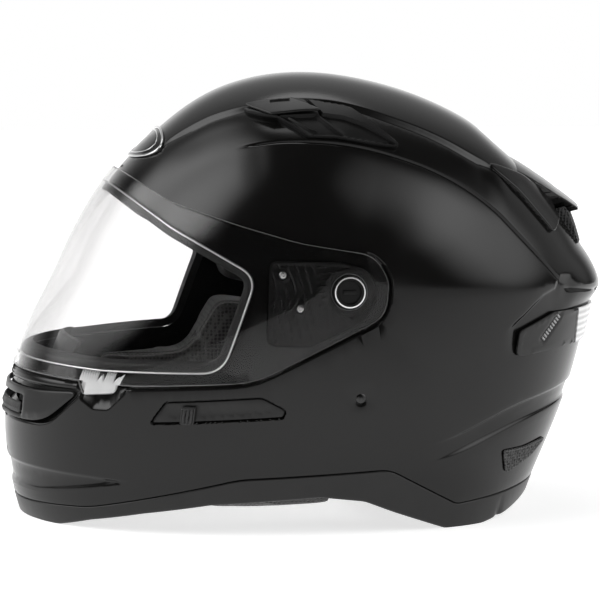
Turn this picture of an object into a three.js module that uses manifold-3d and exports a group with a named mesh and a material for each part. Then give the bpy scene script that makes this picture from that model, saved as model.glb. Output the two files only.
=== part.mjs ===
// Full-face motorcycle helmet with a clear face shield, a drop-down sun visor, chin and crown
// vents, an impact liner, cheek pads and a double D-ring chin strap.
//
// Millimetres, +Z up. The helmet faces -X and the rider's left side is -Y. It rests on its chin
// and on its two rear corners at z = 0, with the middle of its outer box at x = 0, y = 0.
import * as THREE from 'three';
import { mergeVertices } from 'three/addons/utils/BufferGeometryUtils.js';
import Module from 'manifold-3d';

const wasm = await Module();
wasm.setup();

// ---- Driving dimensions -------------------------------------------------------------------

const GAP = 0.3;                 // clearance between pieces that touch
const PIVOT_X = 6;               // face shield axis, which is also the pole of the shell surface
const PIVOT_Z = 135;
const HALF_WIDTH = 122;          // base surface at the pivots
const SQUARENESS = 2.17;         // superellipse power of the cross-sections
const SQUARENESS_SWING = 0.13;   // rounder at the front, squarer at the rear
const RAISE = 3;                 // the lower shell stands this far over the base surface
const SHELL_WALL = 3.5;
const LINER_DEPTH = 32;          // base surface to the foam's inside, along the mid-plane
const COMFORT_DEPTH = 40;
const SIDE_SQUEEZE = 8;          // both linings are this much thicker at the sides
const SHIELD_INNER = 1.4;        // face shield offsets from the base surface
const SHIELD_OUTER = 3.4;
const GRID_AROUND = 30;          // facets around the pivot axis
const GRID_SIDE = 6;             // facets from a pivot to the mid-plane
const FAR = 220;                 // well outside the helmet

// Outer and inner offsets of each layer from the base surface.
const GASKET_LAYER = [1, -5];
const BASE_PLATE_LAYER = [0.9, -1.2];
const TRACK_LAYER = [2, 1.1];
const KNOB_LAYER = [6.5, 4];
const CROWN_VENT_LAYER = [3, 0.5];
const CROWN_SLIDER_LAYER = [5.3, 4.2];
const REAR_VENT_LAYER = [5, 3.4];
const LOWER_GRILLE_LAYER = [4.3, 3.4];
const SPOILER_LAYER = [6.5, 3.4];
const EXHAUST_LAYER = [6.3, 3.4];
const CHIN_FRAME_LAYER = [4.6, 3.4];
const CHIN_SHUTTER_LAYER = [4.6, 3.6];
const BADGE_LAYER = [1.3, 0.3];
const RIVET_LAYER = [4.2, 3.3];
const NECK_ROLL_LAYER = [-7.5, -26];
const DEFLECTOR_LAYER = [-20.5, -23];
const CHIN_FOAM_DEPTH = 20;
const CHEEK_PAD_OUTSIDE = -9;
const CHEEK_PAD_NEAR = 62;       // the cheek pads start this far from the mid-plane
const TRIM_FACE = 0.2;
const TRIM_DEPTH = 7;
const MECHANISM_FLOOR = -1.5;    // floor of the recess under each base plate
const SLIDER_FLOOR = 0.8;        // floor of the recess round the sun visor's lever

// Mid-plane outline of the base surface: x, z, from the crown forwards and round.
const PROFILE = [
  [6, 251], [-45, 243], [-94, 208], [-139, 139], [-164, 87], [-170, 59], [-168, 28],
  [-160, -6], [-122, -67], [-10, -110], [100, -66], [122, -20], [127, 5], [142, 40],
  [157, 83], [164, 112], [168, 133], [161, 150], [132, 189], [82, 230], [40, 246],
];
const PROFILE_BLUR = 3;          // degrees of smoothing along the outline

// Sun visor: a bowl turned about an axis along Y.
const SUN_X = -20;
const SUN_Z = 145;
const SUN_RADIUS = 90;
const SUN_SPAN = 119;
const SUN_INSET = 4;
const SUN_WALL = 2;
const SUN_LOWER_EDGE = 24;       // degrees above straight ahead, with the visor stored
const SUN_UPPER_EDGE = 100;
const SUN_TRAVEL = 38;
const SUN_HALF = 72;
const SUN_EAR = 76;              // the side ears are wider than the lens
const SUN_HUB_Y = 94;            // the arms slope out to their hubs
const SHIELD_TRAVEL = 34;        // degrees the face shield opens

// ---- Colours ------------------------------------------------------------------------------

const gloss = { color: 0x0b0b0c, roughness: 0.18, metalness: 0 };
const satin = { color: 0x151515, roughness: 0.5, metalness: 0 };
const rubber = { color: 0x101010, roughness: 0.75, metalness: 0 };
const foam = { color: 0x26272a, roughness: 0.9, metalness: 0 };
const fabric = { color: 0x17181a, roughness: 0.95, metalness: 0 };
const mesh = { color: 0x2c2d30, roughness: 0.7, metalness: 0 };
const clear = { color: 0xdfe6ea, roughness: 0.05, metalness: 0, transparent: true, opacity: 0.3 };
const smoke = { color: 0x55595e, roughness: 0.08, metalness: 0, transparent: true, opacity: 0.6 };
const steel = { color: 0xb8babd, roughness: 0.3, metalness: 1 };

// ---- Base surface -------------------------------------------------------------------------

const radians = THREE.MathUtils.degToRad;

function smoothstep(low, high, value) {
  const t = Math.min(1, Math.max(0, (value - low) / (high - low)));
  return t * t * (3 - 2 * t);
}

// The outline as angle and distance from the pivot axis, sorted by angle, once round.
function polarKnots() {
  const knots = PROFILE.map(([x, z]) => ({
    angle: (THREE.MathUtils.radToDeg(Math.atan2(z - PIVOT_Z, x - PIVOT_X)) + 360) % 360,
    radius: Math.hypot(x - PIVOT_X, z - PIVOT_Z),
  }));
  knots.sort((a, b) => a.angle - b.angle);
  const before = knots.map((k) => ({ angle: k.angle - 360, radius: k.radius }));
  const after = knots.map((k) => ({ angle: k.angle + 360, radius: k.radius }));
  return [...before, ...knots, ...after];
}

const KNOTS = polarKnots();

// Catmull-Rom interpolation of the outline's distance at one angle in degrees.
function rawRadius(angle) {
  let k = KNOTS.findIndex((knot) => knot.angle > angle) - 1;
  k = Math.max(1, k);
  const slope = (i) => (KNOTS[i + 1].radius - KNOTS[i - 1].radius)
    / (KNOTS[i + 1].angle - KNOTS[i - 1].angle);
  const width = KNOTS[k + 1].angle - KNOTS[k].angle;
  const t = (angle - KNOTS[k].angle) / width;
  const t2 = t * t;
  const t3 = t2 * t;
  return (2 * t3 - 3 * t2 + 1) * KNOTS[k].radius
    + (t3 - 2 * t2 + t) * width * slope(k)
    + (3 * t2 - 2 * t3) * KNOTS[k + 1].radius
    + (t3 - t2) * width * slope(k + 1);
}

// The outline's distance with its corners eased by a bell-shaped blur.
function outlineRadius(angle) {
  let sum = 0;
  let weight = 0;
  for (let offset = -12; offset <= 12; offset += 0.5) {
    const w = Math.exp(-0.5 * (offset / PROFILE_BLUR) ** 2);
    sum += w * rawRadius((((angle + offset) % 360) + 360) % 360);
    weight += w;
  }
  return sum / weight;
}

function power(angle) {
  return SQUARENESS - SQUARENESS_SWING * Math.cos(radians(angle - 185));
}

// The lower and rear shell stands proud of the base surface, and the crown and face don't.
function raiseAt(angle) {
  if (angle > 180) return RAISE * smoothstep(188, 200, angle);
  return RAISE * (1 - smoothstep(20, 75, angle));
}

const RADII = Array.from({ length: GRID_AROUND }, (_, i) => outlineRadius((360 * i) / GRID_AROUND));

// A closed solid: the base surface moved out by `out`, and by `side` more at the pivots.
function bodySolid(out, { side = 0, raised = false } = {}) {
  const rings = 2 * GRID_SIDE - 1;
  const vertices = [PIVOT_X, -(HALF_WIDTH + out + side), PIVOT_Z];
  for (let j = 1; j <= rings; j += 1) {
    const tau = (Math.PI / 2) * (j / GRID_SIDE);
    for (let i = 0; i < GRID_AROUND; i += 1) {
      const angle = (360 * i) / GRID_AROUND;
      const extra = raised ? raiseAt(angle) : 0;
      const exponent = 2 / power(angle);
      const reach = (RADII[i] + out + extra) * Math.sin(tau) ** exponent;
      const halfWidth = (HALF_WIDTH + out + side + extra) * Math.abs(Math.cos(tau)) ** exponent;
      vertices.push(
        PIVOT_X + reach * Math.cos(radians(angle)),
        -Math.sign(Math.cos(tau).toFixed(9)) * halfWidth,
        PIVOT_Z + reach * Math.sin(radians(angle)),
      );
    }
  }
  vertices.push(PIVOT_X, HALF_WIDTH + out + side, PIVOT_Z);
  const last = rings * GRID_AROUND + 1;
  const at = (j, i) => 1 + (j - 1) * GRID_AROUND + ((i + GRID_AROUND) % GRID_AROUND);
  const triangles = [];
  for (let i = 0; i < GRID_AROUND; i += 1) {
    triangles.push(0, at(1, i), at(1, i + 1));
    triangles.push(last, at(rings, i + 1), at(rings, i));
    for (let j = 1; j < rings; j += 1) {
      triangles.push(at(j, i), at(j + 1, i), at(j + 1, i + 1));
      triangles.push(at(j, i), at(j + 1, i + 1), at(j, i + 1));
    }
  }
  return solidFrom(new Float32Array(vertices), new Uint32Array(triangles));
}

// ---- Solids and booleans ------------------------------------------------------------------

function solidFrom(vertProperties, triVerts) {
  const solid = new wasm.Manifold(new wasm.Mesh({ numProp: 3, vertProperties, triVerts }));
  if (solid.volume() > 0) return solid;
  const flipped = triVerts.slice();
  for (let t = 0; t < flipped.length; t += 3) {
    [flipped[t], flipped[t + 1]] = [flipped[t + 1], flipped[t]];
  }
  return new wasm.Manifold(new wasm.Mesh({ numProp: 3, vertProperties, triVerts: flipped }));
}

function solidOf(geometry) {
  const bare = geometry.clone();
  bare.deleteAttribute('normal');
  bare.deleteAttribute('uv');
  const merged = mergeVertices(bare, 1e-4);
  return solidFrom(new Float32Array(merged.attributes.position.array),
    new Uint32Array(merged.index.array));
}

// A closed outline from corners [x, z, radius]: each corner is rounded by an arc.
function rounded(corners) {
  const points = [];
  corners.forEach(([x, z, radius = 0], i) => {
    const corner = new THREE.Vector2(x, z);
    const previous = corners[(i + corners.length - 1) % corners.length];
    const next = corners[(i + 1) % corners.length];
    const back = new THREE.Vector2(previous[0] - x, previous[1] - z);
    const ahead = new THREE.Vector2(next[0] - x, next[1] - z);
    const half = Math.acos(back.clone().normalize().dot(ahead.clone().normalize())) / 2;
    const cut = Math.min(radius / Math.tan(half), back.length() * 0.49, ahead.length() * 0.49);
    if (cut < 0.05) {
      points.push(corner);
      return;
    }
    const start = corner.clone().addScaledVector(back.normalize(), cut);
    const end = corner.clone().addScaledVector(ahead.normalize(), cut);
    const steps = Math.max(2, Math.round((Math.PI - 2 * half) / radians(20)));
    const arc = new THREE.QuadraticBezierCurve(start, corner, end);
    points.push(...arc.getPoints(steps));
  });
  return points;
}

// The same outline moved outwards by `distance`, or inwards if it is negative.
function grown(points, distance) {
  const turn = Math.sign(THREE.ShapeUtils.area(points));
  return points.map((point, i) => {
    const previous = points[(i + points.length - 1) % points.length];
    const next = points[(i + 1) % points.length];
    const a = point.clone().sub(previous).normalize();
    const b = next.clone().sub(point).normalize();
    const normal = new THREE.Vector2(a.y + b.y, -a.x - b.x).normalize();
    const stretch = Math.max(0.5, normal.dot(new THREE.Vector2(b.y, -b.x)));
    return point.clone().addScaledVector(normal, (turn * distance) / stretch);
  });
}

// The outline turned about the face shield's axis, opening it by `degrees`.
function opened(points, degrees) {
  const axis = new THREE.Vector2(PIVOT_X, PIVOT_Z);
  return points.map((point) => point.clone().rotateAround(axis, -radians(degrees)));
}

// An outline in the XZ plane, extruded from one Y to the other.
function prism(points, yLow = -FAR, yHigh = FAR) {
  const geometry = new THREE.ExtrudeGeometry(new THREE.Shape(points), {
    depth: yHigh - yLow, bevelEnabled: false, steps: 1,
  });
  geometry.rotateX(Math.PI / 2);
  geometry.translate(0, yHigh, 0);
  return solidOf(geometry);
}

// A prism over one side of the helmet only: side is -1 for the rider's left, 1 for the right.
function sidePrism(points, side, near = 8) {
  return side < 0 ? prism(points, -FAR, -near) : prism(points, near, FAR);
}

function box(low, high) {
  const size = high.map((value, i) => value - low[i]);
  const geometry = new THREE.BoxGeometry(...size);
  geometry.translate(...low.map((value, i) => value + size[i] / 2));
  return solidOf(geometry);
}

// A round bar along Y.
function bar(x, z, radius, yLow, yHigh, sides = 24) {
  const geometry = new THREE.CylinderGeometry(radius, radius, yHigh - yLow, sides);
  geometry.translate(x, (yLow + yHigh) / 2, z);
  return solidOf(geometry);
}

// A round bar at |y| from `inner` to `outer` on one side.
function sideBar(x, z, radius, side, inner, outer, sides = 24) {
  const ends = [side * inner, side * outer].sort((a, b) => a - b);
  return bar(x, z, radius, ends[0], ends[1], sides);
}

// The layer between two offsets of the base surface, inside a prism.
function plate(cutter, [outer, inner]) {
  return cutter.intersect(bodySolid(outer)).subtract(bodySolid(inner));
}

// The small pieces that a curved cut leaves behind are dropped.
function mainPiece(solid) {
  const pieces = solid.decompose();
  pieces.sort((a, b) => b.volume() - a.volume());
  return pieces[0];
}

const group = new THREE.Group();

function addSolid(name, solid, look) {
  const { vertProperties, triVerts, numProp } = mainPiece(solid).getMesh();
  const positions = new Float32Array((vertProperties.length / numProp) * 3);
  for (let i = 0; i < positions.length / 3; i += 1) {
    positions.set(vertProperties.slice(i * numProp, i * numProp + 3), i * 3);
  }
  const geometry = new THREE.BufferGeometry();
  geometry.setAttribute('position', new THREE.BufferAttribute(positions, 3));
  geometry.setIndex(new THREE.BufferAttribute(new Uint32Array(triVerts), 1));
  geometry.computeVertexNormals();
  const node = new THREE.Mesh(geometry, new THREE.MeshStandardMaterial(look));
  node.name = name;
  group.add(node);
}

const SIDES = [['left', -1], ['right', 1]];

function forBothSides(build) {
  SIDES.forEach(([word, side]) => build(word, side));
}

// ---- Outlines in the XZ plane: [x, z, corner radius] ---------------------------------------

// The eyeport, out through the front.
const EYEPORT = rounded([
  [-FAR, 189], [-112, 189, 12], [-84, 167.5, 50], [-42, 143, 12], [-61, 91, 16], [-123, 90, 60],
  [-FAR, 94],
]);

const SHIELD = rounded([
  [-FAR, 197.5], [-107, 197, 10], [-84, 181, 40], [-50, 169.5, 60], [-19, 160.5, 90],
  [22, 153, 24], [36, 131, 22], [22, 109, 26], [-38, 87, 60], [-108, 86, 60], [-FAR, 90],
]);

// The finger tab under the shield's left front corner.
const SHIELD_TAB = rounded([[-136, 92], [-132, 77, 3], [-116, 79, 3], [-112, 92]]);

// The seam between the painted shell and the lower trim, and the trim's lower edge.
const SEAM = rounded([
  [-FAR, 8], [-129, 14, 60], [-51, 33, 60], [30, 37, 20], [70, 15, 8], [130, 20, 60], [FAR, 30],
]);
const SEAM_LINE = SEAM.slice(1, -1);
const LOWER_EDGE = [
  [-FAR, 0], [-146, 0], [-128, 6], [-101, 12], [-66, 18], [-7, 22], [17, 19], [34, 12], [66, 0],
  [84, 0], [104, 4], [116, 8], [130, 12], [FAR, 14],
].map(([x, z]) => new THREE.Vector2(x, z));

function band(lower, upper) {
  return [...lower, ...upper.slice().reverse()];
}

const SEAM_FULL = [new THREE.Vector2(-FAR, 8), ...SEAM_LINE, new THREE.Vector2(FAR, 30)];
const raisedBy = (line, dz) => line.map((point) => new THREE.Vector2(point.x, point.y + dz));
const floorLine = [new THREE.Vector2(-FAR, -FAR), new THREE.Vector2(FAR, -FAR)];

const MECHANISM = rounded([
  [-36, 152, 6], [2, 151, 10], [20, 147, 12], [27, 132, 14], [18, 116, 14], [-14, 103, 8],
  [-38, 106, 6],
]);
const SLIDER_RECESS = rounded([
  [-99, 63], [-90, 76, 3], [-40, 79, 8], [-27, 72, 4], [-28, 67, 3],
]);
const TOP_VENT = rounded([
  [-43, 234, 2], [-31, 238.5, 4], [-16, 240.5, 3], [14, 235, 12], [20, 230.5, 3], [39, 211, 2],
  [24, 212.5, 8], [5, 216, 6], [-11, 216.5, 4], [-19, 221.5, 3], [-25, 226, 3], [-33, 227.5, 3],
]);
const TOP_SLIDER = rounded([
  [-39, 235.5, 1], [-31, 238, 3], [-17, 240, 2], [-5, 232.6, 1.5], [-23, 232.2], [-32, 231.6],
]);
const SPOILER_ARM = rounded([
  [88, 203, 3], [112, 193, 30], [131, 180, 8], [136, 168, 4], [128, 161, 3], [111, 180, 30],
]);
const EXHAUST_GRILLE = rounded([[140, 167.5], [163, 172], [162, 154], [140, 152]]);
const REAR_VENT = rounded([
  [103, 110, 3], [126, 119, 6], [145, 119], [FAR, 119], [FAR, 99], [135, 99, 10], [101, 96, 4],
]);
const REAR_LENS_X = 144;
const LOWER_GRILLE = rounded([[98, 43, 2], [113, 43, 8], [133, 46, 3], [119, 36, 10], [101, 29, 3]]);
const CHIN_VENT = rounded([
  [-FAR, 58], [-152, 60, 20], [-133, 79, 2], [-154, 77, 20], [-FAR, 77],
]);
const CHEEK_PAD = rounded([
  [-38, 117, 10], [20, 104, 14], [40, 60, 20], [36, 12, 10], [0, 9, 30], [-60, 9, 30],
  [-100, 15, 10], [-118, 45, 10], [-120, 80, 8], [-62, 86, 12], [-52, 100, 10],
]);
const LINER_REGION = rounded([
  [-FAR, 196], [-104, 194, 20], [-82, 182, 40], [-36, 152, 12], [-36, 124, 6], [26, 110, 12],
  [50, 40, 12], [FAR, 44], [FAR, FAR + 100], [-FAR, FAR + 100],
]);
const COMFORT_REGION = grown(LINER_REGION, -4);

// ---- Sun visor ----------------------------------------------------------------------------

// Distance of the bowl's outside from the sun visor axis.
function sunRadius(y) {
  const front = 2.05;
  return SUN_RADIUS * (1 - (Math.abs(y) / SUN_SPAN) ** front) ** (1 / front) - SUN_INSET;
}

// A ring turned about the sun visor axis, between two offsets of the bowl, out to |y| = reach.
function sunRing(outer, inner, reach, steps = 8) {
  const points = [];
  for (let i = 0; i <= steps; i += 1) {
    const y = -reach + (2 * reach * i) / steps;
    points.push(new THREE.Vector2(sunRadius(y) + outer, y));
  }
  if (inner === null) {
    points.push(new THREE.Vector2(0, reach));
    points.unshift(new THREE.Vector2(0, -reach));
  } else {
    for (let i = steps; i >= 0; i -= 1) {
      const y = -reach + (2 * reach * i) / steps;
      points.push(new THREE.Vector2(sunRadius(y) + inner, y));
    }
    points.push(points[0].clone());
  }
  const geometry = new THREE.LatheGeometry(points, 36);
  geometry.translate(SUN_X, 0, SUN_Z);
  return solidOf(geometry);
}

// A fan from the sun visor axis between two angles above straight ahead.
function sunFan(low, high, radius = FAR) {
  const points = [new THREE.Vector2(SUN_X, SUN_Z)];
  for (let angle = low; angle < high + 0.01; angle += (high - low) / 6) {
    points.push(new THREE.Vector2(
      SUN_X - radius * Math.cos(radians(angle)),
      SUN_Z + radius * Math.sin(radians(angle)),
    ));
  }
  return points;
}

const SUN_ARM_WIDTH = 2;
const SUN_PIN_RADIUS = 3;
const SUN_HUB_RADIUS = 9;

// A cone from the hub, at |y| = SUN_HUB_Y, in to the ears, moved in or out by `shift`.
function sunCone(side, shift, wall) {
  const rim = sunRadius(SUN_EAR) - 0.5;
  const points = [
    new THREE.Vector2(0, SUN_HUB_Y + shift),
    new THREE.Vector2(SUN_HUB_RADIUS, SUN_HUB_Y + shift),
    new THREE.Vector2(rim, SUN_EAR + shift),
    new THREE.Vector2(rim, SUN_EAR + shift - wall),
    new THREE.Vector2(SUN_HUB_RADIUS, SUN_HUB_Y + shift - wall),
    new THREE.Vector2(0, SUN_HUB_Y + shift - wall),
  ];
  const geometry = new THREE.LatheGeometry(points.map((p) => new THREE.Vector2(p.x, side * p.y)), 24);
  geometry.translate(SUN_X, 0, SUN_Z);
  return solidOf(geometry);
}

function sunVisor() {
  const lens = sunRing(0, -SUN_WALL, SUN_EAR);
  const front = prism(sunFan(SUN_LOWER_EDGE, SUN_UPPER_EDGE), -SUN_HALF, SUN_HALF);
  const ears = prism(sunFan(50, 84), -SUN_EAR, SUN_EAR);
  const armShape = prism(sunFan(52, 82)).add(bar(SUN_X, SUN_Z, SUN_HUB_RADIUS, -FAR, FAR));
  let visor = lens.intersect(front.add(ears));
  forBothSides((word, side) => {
    const arm = sunCone(side, 0, SUN_ARM_WIDTH).intersect(armShape);
    const hole = sideBar(SUN_X, SUN_Z, SUN_PIN_RADIUS + GAP, side, SUN_HUB_Y - 4, SUN_HUB_Y + 2, 16);
    visor = visor.add(arm).subtract(hole);
  });
  return visor;
}

// The space that the sun visor sweeps, cut out of the foam: everything outside its bowl and arms.
function sunPocket() {
  const sweep = prism(sunFan(SUN_LOWER_EDGE - SUN_TRAVEL - 6, SUN_UPPER_EDGE + 5));
  const hub = bar(SUN_X, SUN_Z, SUN_HUB_RADIUS + 5, -FAR, FAR);
  const clearance = 1.6;
  let kept = sunRing(-SUN_WALL - 2.5, null, SUN_EAR - SUN_ARM_WIDTH - clearance);
  forBothSides((word, side) => {
    kept = kept.add(sunCone(side, -SUN_ARM_WIDTH - clearance, 30));
  });
  return sweep.add(hub).subtract(kept);
}

// ---- Shell and its trims ------------------------------------------------------------------

const SHIELD_POCKET_ANGLES = [0, 9, 18, 27, SHIELD_TRAVEL];
const outerFace = bodySolid(0, { raised: true });
const shellInside = bodySolid(-SHELL_WALL);
const shieldSkin = bodySolid(0);

function shieldPocket() {
  const outline = grown(SHIELD, 1);
  const tab = prism(grown(SHIELD_TAB, 1), -FAR, 0);
  return SHIELD_POCKET_ANGLES
    .map((angle) => prism(opened(outline, angle)))
    .reduce((sum, piece) => sum.add(piece), tab)
    .subtract(shieldSkin);
}

const chinIntake = box([-FAR, -30, 64], [-140, 30, 71]);

function outerShell() {
  const belowSeam = prism(band(floorLine, raisedBy(SEAM_FULL, GAP)));
  let shell = outerFace
    .subtract(shellInside)
    .subtract(prism(grown(EYEPORT, GAP)))
    .subtract(belowSeam)
    .subtract(shieldPocket())
    .subtract(chinIntake);
  forBothSides((word, side) => {
    const recess = sidePrism(MECHANISM, side).subtract(bodySolid(MECHANISM_FLOOR));
    shell = shell.subtract(recess);
  });
  const sliderRecess = sidePrism(SLIDER_RECESS, -1).subtract(bodySolid(SLIDER_FLOOR));
  return shell.subtract(sliderRecess);
}
addSolid('outer_shell', outerShell(), gloss);

const trimFace = bodySolid(TRIM_FACE, { raised: true });
const trimBand = prism(band(LOWER_EDGE, SEAM_FULL));
addSolid('base_trim', trimFace.subtract(bodySolid(-TRIM_DEPTH)).intersect(trimBand), satin);

const GASKET_WIDTH = 5;
const gasketOpening = prism(grown(EYEPORT, -GASKET_WIDTH));
addSolid('eyeport_gasket', plate(prism(EYEPORT), GASKET_LAYER).subtract(gasketOpening), rubber);

// ---- Linings ------------------------------------------------------------------------------

const linerFace = bodySolid(-SHELL_WALL - GAP);
const linerInside = bodySolid(-LINER_DEPTH, { side: -SIDE_SQUEEZE });

addSolid('impact_liner', linerFace
  .subtract(linerInside)
  .intersect(prism(LINER_REGION))
  .subtract(sunPocket()), foam);

addSolid('comfort_liner', bodySolid(-LINER_DEPTH - GAP, { side: -SIDE_SQUEEZE })
  .subtract(bodySolid(-COMFORT_DEPTH, { side: -SIDE_SQUEEZE }))
  .intersect(prism(COMFORT_REGION)), fabric);

const STRAP_X = 13;
const STRAP_WIDTH = 20;
const SLOT_HALF = STRAP_WIDTH / 2 + 1.5;
const strapSlot = box([STRAP_X - SLOT_HALF, -FAR, -20], [STRAP_X + SLOT_HALF, FAR, 46]);

forBothSides((word, side) => {
  const pad = sidePrism(CHEEK_PAD, side, CHEEK_PAD_NEAR)
    .intersect(bodySolid(CHEEK_PAD_OUTSIDE))
    .subtract(strapSlot);
  addSolid(`cheek_pad_${word}`, pad, fabric);
});

const NECK_ROLL = rounded([
  [44, 36, 6], [46, 9, 6], [70, 6, 20], [FAR, 12], [FAR, 38], [70, 36, 20],
]);
addSolid('neck_roll', plate(prism(NECK_ROLL), NECK_ROLL_LAYER), fabric);

const CHIN_FOAM = rounded([[-FAR, 12], [-128, 16, 8], [-126, 82, 8], [-FAR, 84]]);
addSolid('chin_foam', linerFace
  .subtract(bodySolid(-CHIN_FOAM_DEPTH))
  .intersect(prism(CHIN_FOAM)), foam);

const DEFLECTOR = rounded([[-FAR, 60], [-120, 60], [-120, 96], [-FAR, 112]]);
const DEFLECTOR_HALF = 38;
addSolid('breath_deflector',
  plate(prism(DEFLECTOR, -DEFLECTOR_HALF, DEFLECTOR_HALF), DEFLECTOR_LAYER), rubber);

// ---- Face shield and its mechanism --------------------------------------------------------

const HUB_RADIUS = 9;
const HUB_OUTER = HALF_WIDTH + 5.5;
const HUB_SOCKET_RADIUS = HUB_RADIUS - 3;
const HUB_SOCKET_DEPTH = 2;

function faceShield() {
  const tab = prism(SHIELD_TAB, -FAR, 0);
  const blank = plate(prism(SHIELD).add(tab), [SHIELD_OUTER, SHIELD_INNER]);
  return blank.subtract(bar(PIVOT_X, PIVOT_Z, HUB_RADIUS + 0.4, -FAR, FAR));
}
addSolid('face_shield', faceShield(), clear);

const SCREW_POINTS = [[-20, 126], [-16, 144]];
const SCREW_RADIUS = 2;
const SIDE_NEAR = 60;            // between these two |y| lies the whole side of the helmet
const SIDE_FAR = 140;

forBothSides((word, side) => {
  let base = plate(sidePrism(grown(MECHANISM, -GAP), side, SIDE_NEAR), BASE_PLATE_LAYER);
  SCREW_POINTS.forEach(([x, z]) => {
    base = base.subtract(sideBar(x, z, SCREW_RADIUS + GAP, side, SIDE_NEAR, SIDE_FAR, 12));
  });
  addSolid(`shield_base_plate_${word}`, base, satin);
  const hub = sideBar(PIVOT_X, PIVOT_Z, HUB_RADIUS, side, HALF_WIDTH + 1.2, HUB_OUTER);
  const socket = sideBar(PIVOT_X, PIVOT_Z, HUB_SOCKET_RADIUS, side,
    HUB_OUTER - HUB_SOCKET_DEPTH, SIDE_FAR);
  addSolid(`shield_pivot_hub_${word}`, hub.subtract(socket), satin);
  SCREW_POINTS.forEach(([x, z], i) => {
    const screw = sideBar(x, z, SCREW_RADIUS, side, SIDE_NEAR, SIDE_FAR, 12);
    addSolid(`base_plate_screw_${word}_${i + 1}`, plate(screw, BASE_PLATE_LAYER), steel);
  });
});

// ---- Sun visor, its brackets and its lever ------------------------------------------------

addSolid('sun_visor', sunVisor(), smoke);

forBothSides((word, side) => {
  const disc = sideBar(SUN_X, SUN_Z, SUN_HUB_RADIUS + 3, side, SUN_HUB_Y + 0.5, SUN_HUB_Y + 4);
  const pin = sideBar(SUN_X, SUN_Z, SUN_PIN_RADIUS, side, SUN_HUB_Y - 1.5, SUN_HUB_Y + 1, 16);
  addSolid(`sun_visor_bracket_${word}`, disc.add(pin), satin);
});

const SLIDER_KNOB = rounded([[-82, 65, 1], [-81, 74, 1], [-74, 74, 1], [-75, 65, 1]]);
const TRACK_MARGIN = 0.5;
const trackShape = sidePrism(grown(SLIDER_RECESS, -TRACK_MARGIN), -1);
addSolid('sun_visor_track', plate(trackShape, TRACK_LAYER), satin);
addSolid('sun_visor_slider', plate(sidePrism(SLIDER_KNOB, -1), KNOB_LAYER), rubber);

// ---- Vents --------------------------------------------------------------------------------

const aheadOfLens = box([0, -FAR, 0], [REAR_LENS_X - GAP, FAR, FAR]);
const behindCover = box([REAR_LENS_X, -FAR, 0], [FAR, FAR, FAR]);
const LENS_NEAR = 30;            // the lenses start this far from the mid-plane

forBothSides((word, side) => {
  addSolid(`crown_vent_${word}`, plate(sidePrism(TOP_VENT, side), CROWN_VENT_LAYER), satin);
  const slider = plate(sidePrism(TOP_SLIDER, side), CROWN_SLIDER_LAYER);
  addSolid(`crown_vent_slider_${word}`, slider, rubber);
  const cover = plate(sidePrism(REAR_VENT, side), REAR_VENT_LAYER).intersect(aheadOfLens);
  addSolid(`rear_vent_cover_${word}`, cover, satin);
  const lens = plate(sidePrism(REAR_VENT, side, LENS_NEAR), REAR_VENT_LAYER)
    .intersect(behindCover);
  addSolid(`rear_vent_lens_${word}`, lens, clear);
  const grille = plate(sidePrism(LOWER_GRILLE, side), LOWER_GRILLE_LAYER);
  addSolid(`lower_rear_grille_${word}`, grille, mesh);
});

// The spoiler's wing: its mid-plane section [x, z] from the root over the tip and back, carried
// from side to side and drawn in towards the pivot axis as the shell is.
const WING_SECTION = [
  [112, 207], [136, 193.5], [148.5, 184.5], [161.5, 174.5], [158.8, 171.2], [146, 180],
  [130, 186], [108, 196],
];
const WING_HALF = 56;
const WING_STATIONS = 12;

function wingSolid() {
  const count = WING_SECTION.length;
  const vertices = [];
  for (let k = 0; k <= WING_STATIONS; k += 1) {
    const y = -WING_HALF + (2 * WING_HALF * k) / WING_STATIONS;
    const exponent = power(20);
    const inward = (1 - (Math.abs(y) / HALF_WIDTH) ** exponent) ** (1 / exponent);
    WING_SECTION.forEach(([x, z]) => {
      vertices.push(PIVOT_X + (x - PIVOT_X) * inward, y, PIVOT_Z + (z - PIVOT_Z) * inward);
    });
  }
  const triangles = [];
  for (let k = 0; k < WING_STATIONS; k += 1) {
    for (let i = 0; i < count; i += 1) {
      const a = k * count + i;
      const b = k * count + ((i + 1) % count);
      triangles.push(a, b, b + count, a, b + count, a + count);
    }
  }
  const section = WING_SECTION.map(([x, z]) => new THREE.Vector2(x, z));
  const last = WING_STATIONS * count;
  THREE.ShapeUtils.triangulateShape(section, []).forEach(([a, b, c]) => {
    const clockwise = THREE.ShapeUtils.area([section[a], section[b], section[c]]) < 0;
    const [p, q] = clockwise === THREE.ShapeUtils.area(section) < 0 ? [b, c] : [c, b];
    triangles.push(a, q, p, last + a, last + p, last + q);
  });
  return solidFrom(new Float32Array(vertices), new Uint32Array(triangles));
}

// The rear spoiler: a wing over the exhaust grille, with an arm down each side.
const EXHAUST_HALF = 40;
const underSpoiler = bodySolid(SPOILER_LAYER[1]);
const arms = plate(prism(SPOILER_ARM), SPOILER_LAYER);
addSolid('rear_spoiler', wingSolid().subtract(underSpoiler).add(arms), gloss);
addSolid('exhaust_grille',
  plate(prism(EXHAUST_GRILLE, -EXHAUST_HALF, EXHAUST_HALF), EXHAUST_LAYER), mesh);

const chinWindow = box([-FAR, -38, 62], [-120, 38, 73]);
const chinFrame = plate(prism(CHIN_VENT), CHIN_FRAME_LAYER).subtract(chinWindow);
addSolid('chin_vent_frame', chinFrame, satin);
const chinShutter = plate(box([-FAR, -36, 62.6], [-120, 36, 68.4]), CHIN_SHUTTER_LAYER);
addSolid('chin_vent_shutter', chinShutter, rubber);

// ---- Forehead badge -----------------------------------------------------------------------

const BADGE_X = -89;
const BADGE_Z = 211;
const BADGE_LEAN = 48;
const BADGE_HALF_HEIGHT = 12;
const BADGE_HALF_WIDTH = 40;

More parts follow.
